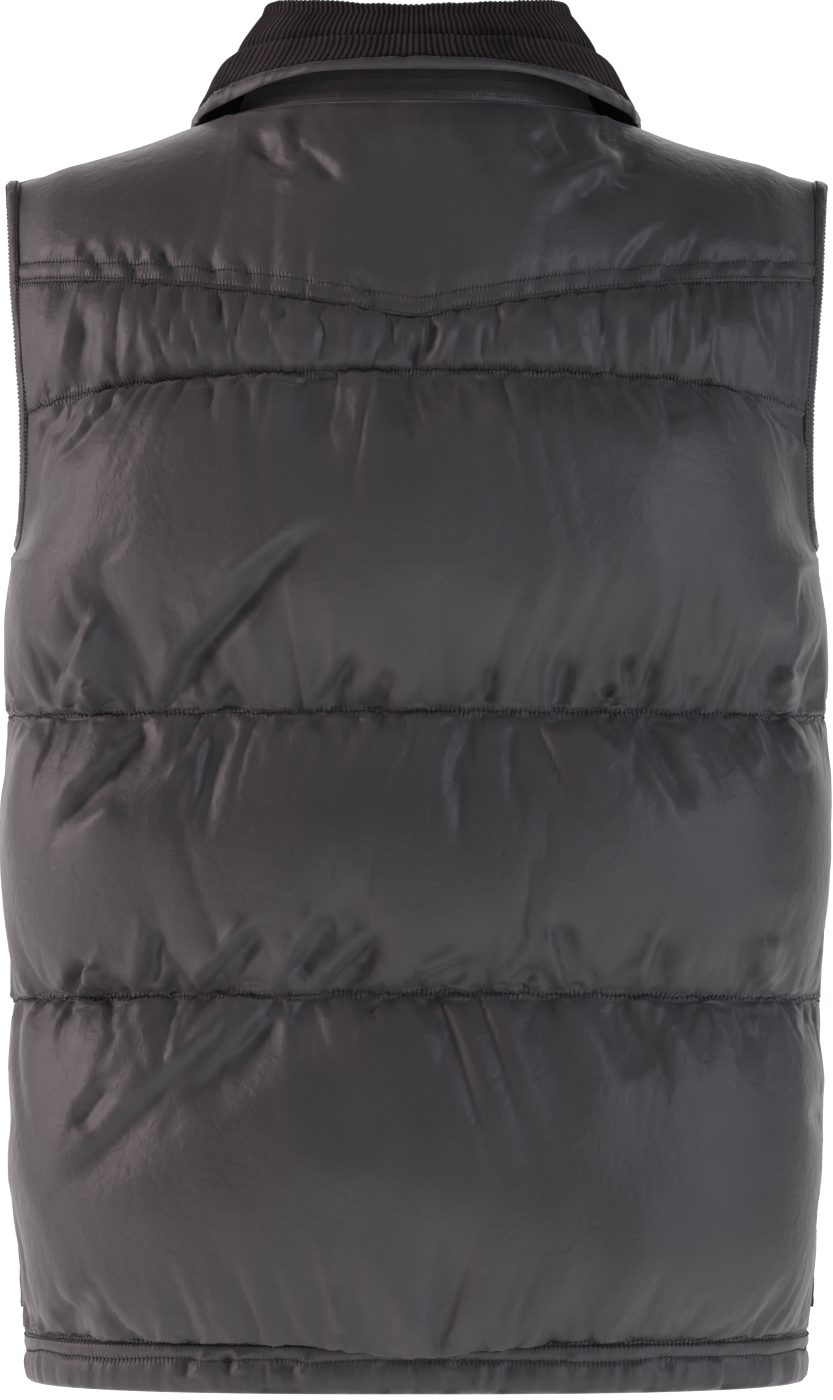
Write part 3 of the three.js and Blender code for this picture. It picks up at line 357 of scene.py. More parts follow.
def top_row(side, s, share):
    """Points above the yoke seam, or above the high quilting of a front, up to the top edge."""
    line, below = ("yoke_seam", "under_yoke") if side == "back" else ("high_quilt", "chest")
    start, roundness = SLOPE[side]
    seam_x = channel_row(side, below, s, 0)[0][:, 0]
    from_x = FRONT_EDGE_X if side == "front" else 0
    on_neck = mix(from_x, NECK_HALF_WIDTH, np.sin(math.pi * np.minimum(s, 0.5)))
    edge_x = np.where(s >= 0.5, mix(NECK_HALF_WIDTH, 215, (s - 0.5) * 2), on_neck)

    def climb(x, height):
        ridge = read_table(SHOULDER_RIDGE, np.abs(x), 1)
        up = np.clip((height - start) / (ridge - start), 0, 1)
        return np.arcsin(up ** (roundness / 2))

    seam_climb = climb(seam_x, line_height(line, s))
    edge_climb = np.where(s >= 0.5, math.pi / 2, climb(edge_x, neck_height(side, edge_x)))
    x = mix(seam_x, edge_x, share)
    angle = mix(seam_climb, edge_climb, share)
    ridge = read_table(SHOULDER_RIDGE, np.abs(x), 1)
    height = start + (ridge - start) * np.sin(angle) ** (2 / roundness)
    y = np.where(angle > 1.5707, 0, depth_at(side, x, height))
    return np.stack([x, y if side == "back" else -y, height], axis=-1), np.full(len(s), 1.0 - share)


def inside_row(side, s, level):
    names = LEVELS[side]
    index = int(min(len(names) - 1, max(0, math.floor(level))))
    if names[index] == "top":
        return top_row(side, s, level - index)
    return channel_row(side, names[index], s, 1 - (level - index))


def row_with_directions(side, s, level):
    """Points, how far down their channel they are, and the directions along, up and outward."""
    top = len(LEVELS[side])
    point, down = inside_row(side, s, level)

    def at(ds, dl):
        return inside_row(side, np.clip(s + ds, 0, 1), min(top, max(0, level + dl)))[0]

    along = unit(at(0.004, 0) - at(-0.004, 0))
    up = unit(at(0, 0.004) - at(0, -0.004))
    facing = 1 if side == "back" else -1
    side_seam = (s > 0.9999) & (point[:, 2] < ARMPIT_HEIGHT + 0.01)
    along[side_seam] = (0, -facing, 0)
    centre = s < 0.0001
    along[centre] = (1, 0, 0) if side == "back" else unit(along[centre] * (1, 0, 1))
    if level > top - 0.0001:
        up[s >= 0.5] = (0, -facing, 0)
    out = unit(np.cross(along, up))
    wrong = out[:, 1] * facing + out[:, 0] * 0.5 + out[:, 2] * 0.1 < 0
    out[wrong] *= -1
    out[centre] = unit(out[centre] * (0, 1, 1))
    return point, down, along, up, out


def levels_between(side, low, high, rows):
    """Levels of the rows of a patch; rows gives how many each channel on the way has."""
    levels = []
    for index, count in zip(range(low, high), rows):
        levels += [index + k / count for k in range(count)]
    return levels + [high]


# Back body: one panel of nylon taffeta over polyester wadding and a lining, quilted right
# through on three lines. The wadding fills the channels between them, and each line of
# stitching draws the cloth up, so that gathers and creases run out of it.
def soft_noise(t, seed):
    """Smooth irregular wave along t, from -1 to 1."""
    table = np.random.default_rng(seed).uniform(-1, 1, 1024)
    i = np.floor(t).astype(int)
    f = t - i
    f = f * f * (3 - 2 * f)
    return mix(table[i % 1024], table[(i + 1) % 1024], f)


def soft_noise_2d(u, v, seed):
    """Smooth irregular hills over u and v, from -1 to 1."""
    table = np.random.default_rng(seed).uniform(-1, 1, (256, 256))
    i, j = np.floor(u).astype(int), np.floor(v).astype(int)
    f, g = u - i, v - j
    f, g = f * f * (3 - 2 * f), g * g * (3 - 2 * g)
    i, j, i1, j1 = i % 256, j % 256, (i + 1) % 256, (j + 1) % 256
    return mix(mix(table[i, j], table[i1, j], f), mix(table[i, j1], table[i1, j1], f), g)


GATHERS = [  # distance between gathers, how far they run from the seam, and their height
    (3.8, 4, 0.28),
    (6.5, 8, 0.60),
    (11, 15, 1.00),
    (20, 28, 1.25),
    (37, 58, 1.4),
]


def gathers(t, distance, seed):
    """Height of the gathers beside a seam: pinched valleys between rounded crests."""
    total = 0
    for k, (spacing, reach, height) in enumerate(GATHERS):
        lean = 0.55 * soft_noise(t / (spacing * 5) + 11 * k, seed + 40 + k)
        wave = soft_noise((t + lean * distance) * 1.7 / spacing, seed + k)
        crest = 2 * np.sqrt(wave * wave + 0.006) - 0.85
        own_reach = reach * (0.75 + 0.6 * soft_noise(t / (spacing * 1.3), seed + 60 + k))
        strength = 0.65 + 0.5 * soft_noise(t / (spacing * 3.1), seed + 80 + k)
        fade = hill(distance, 0, np.maximum(own_reach, 1)) * ease(0.4, 2.8, distance)
        total = total + height * strength * crest * fade
    return total


def crease(u, v, path, width, depth):
    """Height of a fold along a path, steep on its left as seen and gentle on its right. A
    negative depth is a ridge."""
    path = np.array(path, float)
    best = np.full(u.shape, 1e9)
    where, side = np.zeros(u.shape), np.zeros(u.shape)
    lengths = np.hypot(*np.diff(path, axis=0).T)
    before = 0
    for (a, b), length in zip(zip(path[:-1], path[1:]), lengths):
        direction = (b - a) / length
        along = np.clip((u - a[0]) * direction[0] + (v - a[1]) * direction[1], 0, length)
        gap = np.hypot(u - a[0] - along * direction[0], v - a[1] - along * direction[1])
        turned = 1 if direction[1] <= 0 else -1
        left = turned * (direction[0] * (v - a[1]) - direction[1] * (u - a[0]))
        where = np.where(gap < best, before + along, where)
        side = np.where(gap < best, left, side)
        best = np.minimum(best, gap)
        before += length
    share = where / lengths.sum()
    taper = ease(0, 0.25, share) * ease(1, 0.7, share) + 0.25
    reach = width * mix(1.4, 0.5, ease(-0.3, 0.3, side / width))
    trough = hill(best, 0, reach)
    beside = hill(best, 1.3 * width, 0.8 * width) * ease(-0.2, 0.2, side / width)
    return depth * taper * (0.3 * beside - trough)


BACK_CREASES = [  # path, width and depth, as they are seen from behind
    ([(182, -109), (186, -135), (190, -154)], 5, 3.5),
    ([(188, -156), (195, -167), (203, -178)], 5, 3),
    ([(151, -128), (157, -149)], 4, 2),
    ([(139, -134), (139, -147)], 3.5, 1.5),
    ([(109, -98), (109, -115)], 3.5, 1.5),
    ([(75, -102), (77, -115)], 3.5, 1.5),
    ([(0, -121), (4, -137)], 3, 2),
    ([(-7, -113), (-5, -132)], 3, 2.5),
    ([(-133, -111), (-133, -148)], 4.5, 2.5),
    ([(-140, -100), (-140, -144)], 4, 2),
    ([(-165, -123), (-169, -150)], 4.5, 2),
    ([(-187, -106), (-202, -145)], 5, 3.2),
    ([(161, -152), (181, -173), (197, -193)], 6, 2.5),
    ([(-133, -148), (-140, -170)], 5, 2),
    ([(-193, -160), (-214, -179)], 6, 3),
    ([(77, -247), (103, -273), (124, -295), (138, -330)], 7, 4.5),
    ([(59, -228), (85, -247), (110, -266)], 7, 3.4),
    ([(173, -275), (193, -324)], 8, -4.1),
    ([(176, -308), (182, -329)], 4, -3.4),
    ([(103, -312), (107, -324)], 4, 2.7),
    ([(34, -293), (53, -324)], 5, 3.4),
    ([(16, -302), (25, -324)], 4.5, 2.7),
    ([(-41, -300), (-37, -322)], 4.5, 2.4),
    ([(-80, -294), (-76, -324)], 5, 3),
    ([(-114, -293), (-117, -327)], 5, 3.4),
    ([(-129, -297), (-125, -325)], 4.5, 2.7),
    ([(-152, -305), (-148, -328)], 4.5, 2.7),
    ([(-192, -315), (-188, -328)], 4, 2.7),
    ([(-102, -312), (-110, -324)], 5, 3.4),
    ([(-199, -301), (-198, -329)], 6, -3.4),
    ([(-77, -260), (-77, -325)], 9, 1.1),
    ([(141, -333), (183, -372), (196, -394)], 8, 3.5),
    ([(104, -331), (140, -365)], 6, -1.5),
    ([(-99, -329), (-110, -344)], 4.5, 2),
    ([(-120, -329), (-144, -371), (-149, -384)], 6, 3),
    ([(-177, -331), (-192, -360)], 5, -1.5),
    ([(-199, -334), (-212, -359)], 6, -2.5),
    ([(162, -374), (190, -392)], 7, -2),
    ([(18, -447), (49, -478)], 6, 4.2),
    ([(46, -434), (71, -473)], 6, 4.2),
    ([(85, -443), (119, -481)], 6, 5.1),
    ([(144, -443), (148, -478)], 5, 3.4),
    ([(134, -467), (134, -481)], 4, 2.5),
    ([(184, -465), (190, -486)], 5, 3.4),
    ([(177, -462), (184, -488)], 5, -4.2),
    ([(-29, -462), (-1, -475)], 5, 4.2),
    ([(-54, -469), (-61, -476)], 5, 3.4),
    ([(-76, -441), (-87, -481)], 5.5, 6),
    ([(-136, -447), (-127, -478)], 5, 3.7),
    ([(-189, -447), (-186, -478)], 6, -3.4),
    ([(69, -489), (129, -543)], 12, 3.6),
    ([(91, -489), (145, -538), (194, -587)], 12, 3),
    ([(167, -527), (188, -555)], 7, 2.5),
    ([(178, -641), (200, -666)], 8, 2.5),
    ([(35, -670), (57, -674)], 5, 1.5),
    ([(-65, -664), (-76, -672)], 4, 1.5),
]
YOKE_CREASES = [
    ([(70, -8), (52, -22), (31, -38)], 7, -1.5),
    ([(90, -15), (79, -26), (66, -35)], 6, 2.4),
    ([(83, -19), (73, -32), (63, -43)], 6, -0.9),
    ([(62, -16), (44, -37)], 6, 1.5),
    ([(-103, -34), (-94, -42), (-84, -47)], 6, 2.6),
    ([(-62, -12), (-75, -25)], 6, 2.6),
    ([(-119, -22), (-107, -40)], 6, 2.4),
    ([(-108, -26), (-80, -36), (-62, -48)], 7, -1.6),
    ([(-130, -64), (-120, -74), (-110, -88)], 4, 2.0),
    ([(-141, -77), (-133, -91)], 3.5, 1.8),
    ([(-152, -67), (-142, -88)], 3.5, 1.5),
    ([(-203, -72), (-192, -90)], 3.5, 1.5),
    ([(-187, -76), (-181, -90)], 3.5, 1.3),
    ([(-166, -74), (-162, -89)], 3.5, 1.2),
    ([(143, -73), (132, -90)], 3.5, 2.0),
    ([(162, -73), (153, -91)], 3.5, 1.8),
    ([(179, -75), (171, -89)], 3.5, 1.6),
    ([(118, -78), (108, -92)], 3.5, 1.5),
    ([(96, -80), (90, -95)], 3.5, 1.3),
    ([(36, -85), (22, -106)], 5, 1.2),
    ([(69, 2), (63, -23)], 7, 2),
    ([(84, -7), (96, -34)], 8, 1.6),
    ([(-75, 0), (-87, -23)], 7, 2),
    ([(-95, -5), (-124, -34)], 8, 1.6),
    ([(181, -71), (183, -81)], 3, 1),
    ([(167, -69), (165, -81)], 3, 1),
    ([(151, -73), (152, -82)], 3, 1),
    ([(140, -74), (141, -83)], 3, 1),
    ([(-29, 1), (-45, -37)], 10, 0.8),
]


def seen_from_behind(points):
    """Where points show from the camera, across and up, at the distance of the side seams."""
    nearer = 1 / (1 - points[..., 1] / CAMERA_DISTANCE)
    return points[..., 0] * nearer, CAMERA_HEIGHT + (points[..., 2] - CAMERA_HEIGHT) * nearer


def wall_thickness(side, name, s, down, height):
    """Thickness of the padded wall, with its wadding but without its creases."""
    near_armhole = np.where(height > ARMPIT_HEIGHT, ease(1, 0.86, s), 1.0)
    near_zip = mix(0.1, 1, ease(0, 0.16, s)) if side == "front" else 1.0
    if name == "top":
        share = 1 - down
        rise = np.sin(math.pi * np.minimum(1, share * 0.75 + 0.06)) ** 0.6
        stitched = ease(0.04, 0.16, share) if side == "back" else ease(0, 0.2, share)
        return 4.5 + 5 * rise * near_armhole * near_zip * stitched * ease(1.02, 0.8, share)
    centre_puff, side_puff = CHANNELS[name][2:]
    fullness = mix(centre_puff, side_puff, ease(0.55, 1, s)) * near_zip
    if name == "hem":
        channel = 0.6 * np.sin(math.pi * down / HEM_STITCH)
        tunnel = np.sin(math.pi * (down - HEM_STITCH) / (1 - HEM_STITCH))
        lobe = np.where(down < HEM_STITCH, channel, tunnel)
        return 3.4 + fullness * np.maximum(0, lobe) ** 0.6
    plump = np.maximum(0, np.sin(math.pi * down)) ** 0.55
    base = np.where(height > ARMPIT_HEIGHT, mix(4.5, 3, near_armhole), 3)
    return base + fullness * plump * np.maximum(0.25, near_armhole)


def padded_rows(side, low, high, rows, s):
    """One half of a padded panel: the levels of its rows, and for every point its place on the
    inside, its outward direction, its thickness and how far it bulges."""
    levels = levels_between(side, low, high, rows)
    names = LEVELS[side]
    inside, outward, thick, plumpness = [], [], [], []
    for level in levels:
        point, down, along, up, out = row_with_directions(side, s, level)
        edge = s > 0.9999
        at_side_seam = edge & (point[:, 2] < ARMPIT_HEIGHT + 0.01)
        at_armhole = edge & ~at_side_seam
        point = point.copy()
        point[at_side_seam] += (0, SEAM_GAP / 2, 0)
        point[at_armhole] -= along[at_armhole] * SEAM_GAP / 2
        if level == low and low > 0:
            point += up * SEAM_GAP / 2
        if level == high:
            point -= up * SEAM_GAP / 2
        index = min(len(names) - 1, int(min(level, high - 1e-6)))
        name = names[index]
        if level == high and name != "top":
            down = np.zeros(len(s))
        thick.append(wall_thickness(side, name, s, down, point[:, 2]))
        bulge = np.full(len(s), 0.5) if name == "top" else np.maximum(0, np.sin(math.pi * down))
        plumpness.append(bulge)
        inside.append(point)
        outward.append(out)
    return [np.array(part) for part in (levels, inside, outward, thick, plumpness)]


def mirrored(*grids):
    """Half grids of points, directions or numbers, each joined to its mirror image."""
    whole = []
    for grid in grids:
        other = grid[:, :0:-1].copy()
        if grid.ndim == 3:
            other[..., 0] *= -1
        whole.append(np.concatenate([other, grid], axis=1))
    return whole


def volume_of(points, quads):
    """Six times the volume inside four-sided faces; negative where they face inwards."""
    a, b, c, d = (points[quads[:, k]] for k in range(4))
    return sum(np.einsum("ij,ij->", p, np.cross(q, r)) for p, q, r in ((a, b, c), (a, c, d)))


def closed_wall(name, outer, inner, rows, columns, materials, **attributes):
    """A wall between an outer grid and a coarser inner one, as one closed mesh. rows and columns
    say which rows and columns of the outer grid the inner one keeps. A second material goes on
    the inside, and the attributes hold a value for every point of the outside."""
    n_rows, n_columns = outer.shape[:2]
    outer_id = np.arange(n_rows * n_columns).reshape(n_rows, n_columns)
    inner_id = outer_id.size + np.arange(len(rows) * len(columns)).reshape(len(rows), len(columns))
    points = np.concatenate([outer.reshape(-1, 3), inner.reshape(-1, 3)]) / 1000

    def rim(long, short, shared, turned):
        faces = []
        for k, (a, b) in enumerate(zip(shared[:-1], shared[1:])):
            for i in range(a, b):
                faces.append((long[i], short[k], long[i + 1]))
            faces.append((long[b], short[k], short[k + 1]))
        return [f[::-1] for f in faces] if turned else faces

    outer_faces, inner_faces = quads_of(outer_id), quads_of(inner_id)[:, ::-1]
    rims = rim(outer_id[0], inner_id[0], columns, False)
    rims += rim(outer_id[-1], inner_id[-1], columns, True)
    rims += rim(outer_id[:, 0], inner_id[:, 0], rows, True)
    rims += rim(outer_id[:, -1], inner_id[:, -1], rows, False)
    faces = [tuple(f) for f in outer_faces] + [tuple(f) for f in inner_faces] + rims
    if volume_of(points, outer_faces) + volume_of(points, inner_faces) < 0:
        faces = [f[::-1] for f in faces]
    mesh = smooth_mesh(name, points, faces, materials)
    if len(materials) > 1:
        slots = [0] * len(outer_faces) + [1] * len(inner_faces) + [0] * len(rims)
        mesh.polygons.foreach_set("material_index", slots)
    for key, values in attributes.items():
        on_outside = np.broadcast_to(values, outer.shape[:2]).reshape(-1)
        values = np.concatenate([on_outside, np.zeros(inner_id.size)])
        mesh.attributes.new(key, "FLOAT", "POINT").data.foreach_set("value", values)
    return linked(name, mesh)


def kept(count, step, always=()):
    """Every step-th index below count, with the last and those that must stay."""
    return sorted(set(range(0, count, step)) | {count - 1} | set(always))


def rows_at(levels, wanted):
    """The rows of a panel that lie nearest to the wanted levels."""
    return [int(np.argmin(np.abs(levels - level))) for level in wanted]


# Plain-weave nylon: charcoal with a soft sheen. The slow change of shade is painted into the
# colour, a painted light and shade that stands for the cloth catching light over the wadding. The
# fine crumple is the set of creases left by washing, the ripples beside the seams are where the
# thread draws the cloth up, one to every stitch, and the two crossed waves are the threads, which
# only show close to.
PUCKER_PITCH = 2.6


def shell_cloth_material(name, dark, light, crumple):
    material, tree, surface = new_material(name)
    place = add_node(tree, "ShaderNodeTexCoord").outputs["Object"]
    centred = add_node(tree, "ShaderNodeMapping", {"Vector": place, "Location": (0, 0, 0.32)})
    centred = centred.outputs["Vector"]
    # painted light and shade: a slow mottle of the colour that stands for light caught over the
    # wadding
    shade = two_tone(tree, noise(tree, centred, 9.0), dark, light, 0.35, 0.65)
    speck = within(tree, noise(tree, centred, 1300.0, 2.0), 0.82, 1.18)
    tree.links.new(scaled(tree, shade, speck), surface["Base Color"])
    rough = within(tree, noise(tree, centred, 60.0, 4.0), 0.46, 0.6)
    tree.links.new(rough, surface["Roughness"])
    surface["Sheen Weight"].default_value = 0.35
    surface["Sheen Roughness"].default_value = 0.45
    surface["Sheen Tint"].default_value = srgb("#d8d2d6")
    creases = noise(tree, centred, 150.0, 5.0, Distortion=0.6)
    crumpled = bump(tree, creases, crumple, 0.0012)
    run = add_node(tree, "ShaderNodeAttribute", attribute_name="seam_run").outputs["Fac"]
    near = add_node(tree, "ShaderNodeAttribute", attribute_name="seam_near").outputs["Fac"]
    wander = calculated(tree, "MULTIPLY", creases, 7.0)
    turns = calculated(tree, "MULTIPLY_ADD", run, 2 * math.pi / PUCKER_PITCH, wander)
    puckers = calculated(tree, "MULTIPLY", calculated(tree, "SINE", turns), near)
    drawn_up = bump(tree, puckers, 1.0, 0.0005, Normal=crumpled)
    weft, warp = (waves(tree, centred, 700.0, direction) for direction in "XZ")
    threads = calculated(tree, "ADD", weft, warp)
    woven = bump(tree, threads, 0.12, 0.0001, Normal=drawn_up)
    tree.links.new(woven, surface["Normal"])
    return material


shell_cloth = shell_cloth_material("nylon_taffeta", "#2e2c2e", "#383638", 0.55)
lining_cloth = shell_cloth_material("polyester_lining", "#2c2b2d", "#333234", 0.15)

HALF_BACK = np.linspace(0, 1, 127)
BACK_LENGTH = 292  # along a row from the centre to the side seam
BACK_ROWS = [80, 64, 81, 14]  # in each of its channels, from the hem up
ARMPIT_LEVEL = 3 + 4 / 9
QUILTING = (2, 3, 4)  # levels of the three lines that are stitched right through
THREAD_LIFT = 0.55  # height of the middle of the thread over the cloth
LOW_SHARE, LEAST_WALL = 0.45, 0.6  # how thin the gathers may press a wall: a share of it, and mm
CREASE_STRENGTH = 1.7  # depth of the creases over the filled cloth, against the table's
levels, inside, outward, thick, plump = padded_rows("back", 1, 5, BACK_ROWS, HALF_BACK)
inside, outward, thick, plump = mirrored(inside, outward, thick, plump)
signed_s = np.concatenate([-HALF_BACK[:0:-1], HALF_BACK])
run_length = BACK_LENGTH * signed_s[None, :] + 0 * levels[:, None]
plain = inside + outward * thick[..., None]


def seam_gathers(levels, heights, run_length, seams, seed):
    """Gathers beside every line of stitching that a panel has, as heights over its grid."""
    total = np.zeros(heights.shape)
    for k, seam in enumerate(seams):
        row = rows_at(levels, [seam])[0]
        distance = np.abs(heights - heights[row])
        same_side = np.abs(levels - seam)[:, None] < 1
        for sign in (-1, 1):
            this = (np.sign(levels - seam) == sign)[:, None] & same_side
            height = gathers(run_length, distance, seed + 200 * k + 7 * sign)
            total += np.where(this, height, 0)
    return total


gathered = seam_gathers(levels, plain[..., 2], run_length, [1, 2, 3, 4, 5], 11)
u, v = seen_from_behind(plain)
sway = 1.9 * soft_noise_2d(u / 62 + 50, v / 48 + 50, 5)
sway += 0.9 * soft_noise_2d(u / 24 + 9, v / 30 + 70, 6)
relief = gathered + sway * ease(0.05, 0.8, plump)
side_fade = ease(1, 0.93, np.abs(signed_s))[None, :]
thick = np.maximum(thick * LOW_SHARE + LEAST_WALL, thick + relief * mix(0.35, 1, side_fade))
outer = inside + outward * thick[..., None]
droop = np.where((levels < 3)[:, None], ease(0.1, 1, plump), 0)
outer[..., 2] -= 3.2 * (droop * ease(170, 20, np.abs(plain[..., 0])))


def settle(grid, held_rows, pressure, spare, frames, cap):
    """How far the cloth of a panel moves to find its own gathers: it is cut a little larger than
    the form, held along its seams and blown out by the wadding. No point moves more than cap."""
    ids = np.arange(grid[..., 0].size).reshape(grid.shape[:2])
    corners = [ids[:-1, :-1], ids[1:, :-1], ids[1:, 1:], ids[:-1, 1:]]
    faces = np.stack(corners, axis=-1).reshape(-1, 4)
    mesh = bpy.data.meshes.new("panel_being_filled")
    mesh.from_pydata(grid.reshape(-1, 3) / 1000, [], faces.tolist())
    panel = linked("panel_being_filled", mesh)
    held = set(ids[list(held_rows)].ravel().tolist())
    held |= set(ids[:, 0].tolist()) | set(ids[:, -1].tolist())
    group = panel.vertex_groups.new(name="seams")
    group.add(sorted(held), 1.0, "REPLACE")
    cloth = panel.modifiers.new("filling", "CLOTH")
    how = cloth.settings
    how.quality = 4
    how.mass = 0.06
    how.tension_stiffness = how.compression_stiffness = 20
    how.shear_stiffness = 6
    how.bending_stiffness = 0.02
    how.shrink_min = -spare
    how.use_pressure = True
    how.uniform_pressure_force = pressure
    how.vertex_group_mass = "seams"
    how.effector_weights.gravity = 0
    cloth.collision_settings.use_collision = False
    scene = bpy.context.scene
    for frame_number in range(1, frames + 1):
        scene.frame_set(frame_number)
    result = panel.evaluated_get(bpy.context.evaluated_depsgraph_get()).to_mesh()
    moved = np.empty(len(result.vertices) * 3)
    result.vertices.foreach_get("co", moved)
    bpy.data.objects.remove(panel)
    scene.frame_set(1)
    shift = moved.reshape(grid.shape) * 1000 - grid
    length = np.linalg.norm(shift, axis=-1, keepdims=True)
    return shift * cap * np.tanh(length / cap) / np.maximum(length, 1e-9)


def spread(values, at, count, axis):
    """Points known at some rows or columns, for all of them."""
    at = np.array(at, float)
    wanted = np.arange(count)
    i = np.clip(np.searchsorted(at, wanted, side="right") - 1, 0, len(at) - 2)
    t = (wanted - at[i]) / (at[i + 1] - at[i])
    shape = [1, 1, 1]
    shape[axis] = -1
    first, second = np.take(values, i, axis=axis), np.take(values, i + 1, axis=axis)
    return first + (second - first) * t.reshape(shape)


def near_seam(levels, heights, seams):
    """Distance of every grid point from the nearest line of stitching, in height."""
    return np.min([np.abs(heights - heights[row]) for row in rows_at(levels, seams)], axis=0)


HEM_SAG = (  # how far the filled cloth sags over the hem band, at places across the back
    (-89, -61, -27, 5, 24, 51, 99, 170),
    (0, 3.9, 8, 11, 8.7, 5.3, 2.2, 0),
)
seam_distance = near_seam(levels, plain[..., 2], (1, *QUILTING, 5))
some = kept(len(levels), 2, rows_at(levels, QUILTING))
held = [some.index(row) for row in rows_at(levels, (1, *QUILTING, 5))]
shift = settle(outer[some], held, pressure=3.4, spare=0.075, frames=16, cap=8)
shift = spread(shift, some, len(levels), 0)
calm = mix(0.08, 1.0, ease(0.98, 0.72, np.abs(signed_s)))[None, :, None]
shift = shift * calm
shift[..., 2] *= ease(0, 6, seam_distance)
outer = outer + shift
u, v = seen_from_behind(outer)
folded = sum(crease(u, v, *one) for one in BACK_CREASES)
folded = CREASE_STRENGTH * folded * ease(0.0, 2.2, seam_distance)
folded += 0.5 * gathered * ease(1, 0.9, np.abs(signed_s))  # what the filling has smoothed out
deepest = -0.6 * np.maximum(thick - 2, 0)
outer = outer + outward * np.maximum(folded, deepest)[..., None]
above_hem = plain[..., 2] - plain[:1, :, 2]
sag = np.interp(plain[:1, :, 0], *HEM_SAG)
outer[..., 2] -= sag * ease(0, 5, above_hem) * ease(75, 5, above_hem)
outer += outward * (0.32 * sag * ease(0, 5, above_hem) * ease(45, 5, above_hem))[..., None]
pucker = 0.9 * soft_noise(run_length / 2.9, 77) * hill(seam_distance, 0, 3.5)
inner_seam = ease(1.0, 1.05, levels) * ease(5.0, 4.95, levels)
outer[..., 2] += pucker * inner_seam[:, None] * ease(1, 0.97, np.abs(signed_s))
rows = kept(len(levels), 4, rows_at(levels, (ARMPIT_LEVEL, *QUILTING)))
columns = kept(len(signed_s), 4)
back_body = closed_wall(
    "back_body_quilted",
    outer,
    inside[np.ix_(rows, columns)],
    rows,
    columns,
    [shell_cloth, lining_cloth],
    seam_run=run_length,
    seam_near=hill(seam_distance, 0, 2.1),
)
quilting_lines = [outer[row] + outward[row] * THREAD_LIFT for row in rows_at(levels, QUILTING)]
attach(back_body, "vest")
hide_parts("back_body")


# Back yoke: the pointed panel across the shoulder blades, in the same cloth and thinly padded.
# It is topstitched along its lower edge and eased into the neck seam, which puckers it.
def straight_shoulder(points, s):
    """Lets the thin padding sink along the shoulder, so that its line is nearly straight."""
    x, z = np.abs(points[..., 0]), points[..., 2]
    sink = 4.4 * hill(x, 155, 42) * ease(-92, -32, z) * ease(1, 0.92, np.abs(s))[None, :]
    return points - sink[..., None] * (0, 0, 1)


YOKE_STITCHES = (1.6, 10.6)  # how far up from the yoke's lower edge its two rows run
levels, inside, outward, thick, _ = padded_rows("back", 5, 6, [56], HALF_BACK)
inside, outward, thick = mirrored(straight_shoulder(inside, HALF_BACK), outward, thick)
run_length = BACK_LENGTH * signed_s[None, :] + 0 * levels[:, None]
plain = inside + outward * thick[..., None]
u, v = seen_from_behind(plain)
relief = seam_gathers(levels, plain[..., 2], run_length, [5], 1900) * 0.8
at_neck = seam_gathers(levels, plain[..., 2], run_length, [6], 2100)
relief += at_neck * 0.5 * ease(0.62, 0.42, np.abs(signed_s))
for one in YOKE_CREASES:
    relief += 1.4 * crease(u, v, *one)
relief += 0.9 * soft_noise_2d(u / 50 + 20, v / 40 + 30, 8) * ease(5.0, 5.2, levels)[:, None]
relief += 0.4 * soft_noise_2d(u / 18 + 20, v / 16 + 30, 9) * ease(5.0, 5.2, levels)[:, None]
steps_up = np.linalg.norm(np.diff(plain, axis=0, prepend=plain[:1]), axis=-1)
above_seam = np.cumsum(steps_up, axis=0)
for stitches in YOKE_STITCHES:  # the two rows of topstitching press the cloth down
    relief -= 0.55 * hill(above_seam, stitches, 1.1)
relief += 0.9 * hill(above_seam, 6, 3)
relief -= 2.0 * ease(5.5, 5.9, levels)[:, None] * hill(np.abs(signed_s), 0.6, 0.2)
thick = np.maximum(2.2, thick + relief * ease(6.0, 5.96, levels)[:, None])
outer = inside + outward * thick[..., None]
rows, columns = kept(len(levels), 4), kept(len(signed_s), 4)
back_yoke = closed_wall(
    "back_yoke_cloth",
    outer,
    inside[np.ix_(rows, columns)],
    rows,
    columns,
    [shell_cloth, lining_cloth],
    seam_run=run_length,
    seam_near=0.6 * sum(hill(above_seam, stitches, 1.3) for stitches in YOKE_STITCHES),
)


def line_on(grid, outs, above, height, lift):
    """The line on a grid that lies a given distance up from its first row."""
    line = []
    for c in range(grid.shape[1]):
        r = float(np.interp(height, above[:, c], np.arange(len(above))))
        i = min(int(r), len(above) - 2)
        line.append(mix(grid[i, c], grid[i + 1, c], r - i) + outs[i, c] * lift)
    return np.array(line)


yoke_lines = [line_on(outer, outward, above_seam, height, lift=0.4) for height in YOKE_STITCHES]
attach(back_yoke, "vest")
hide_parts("back_yoke")


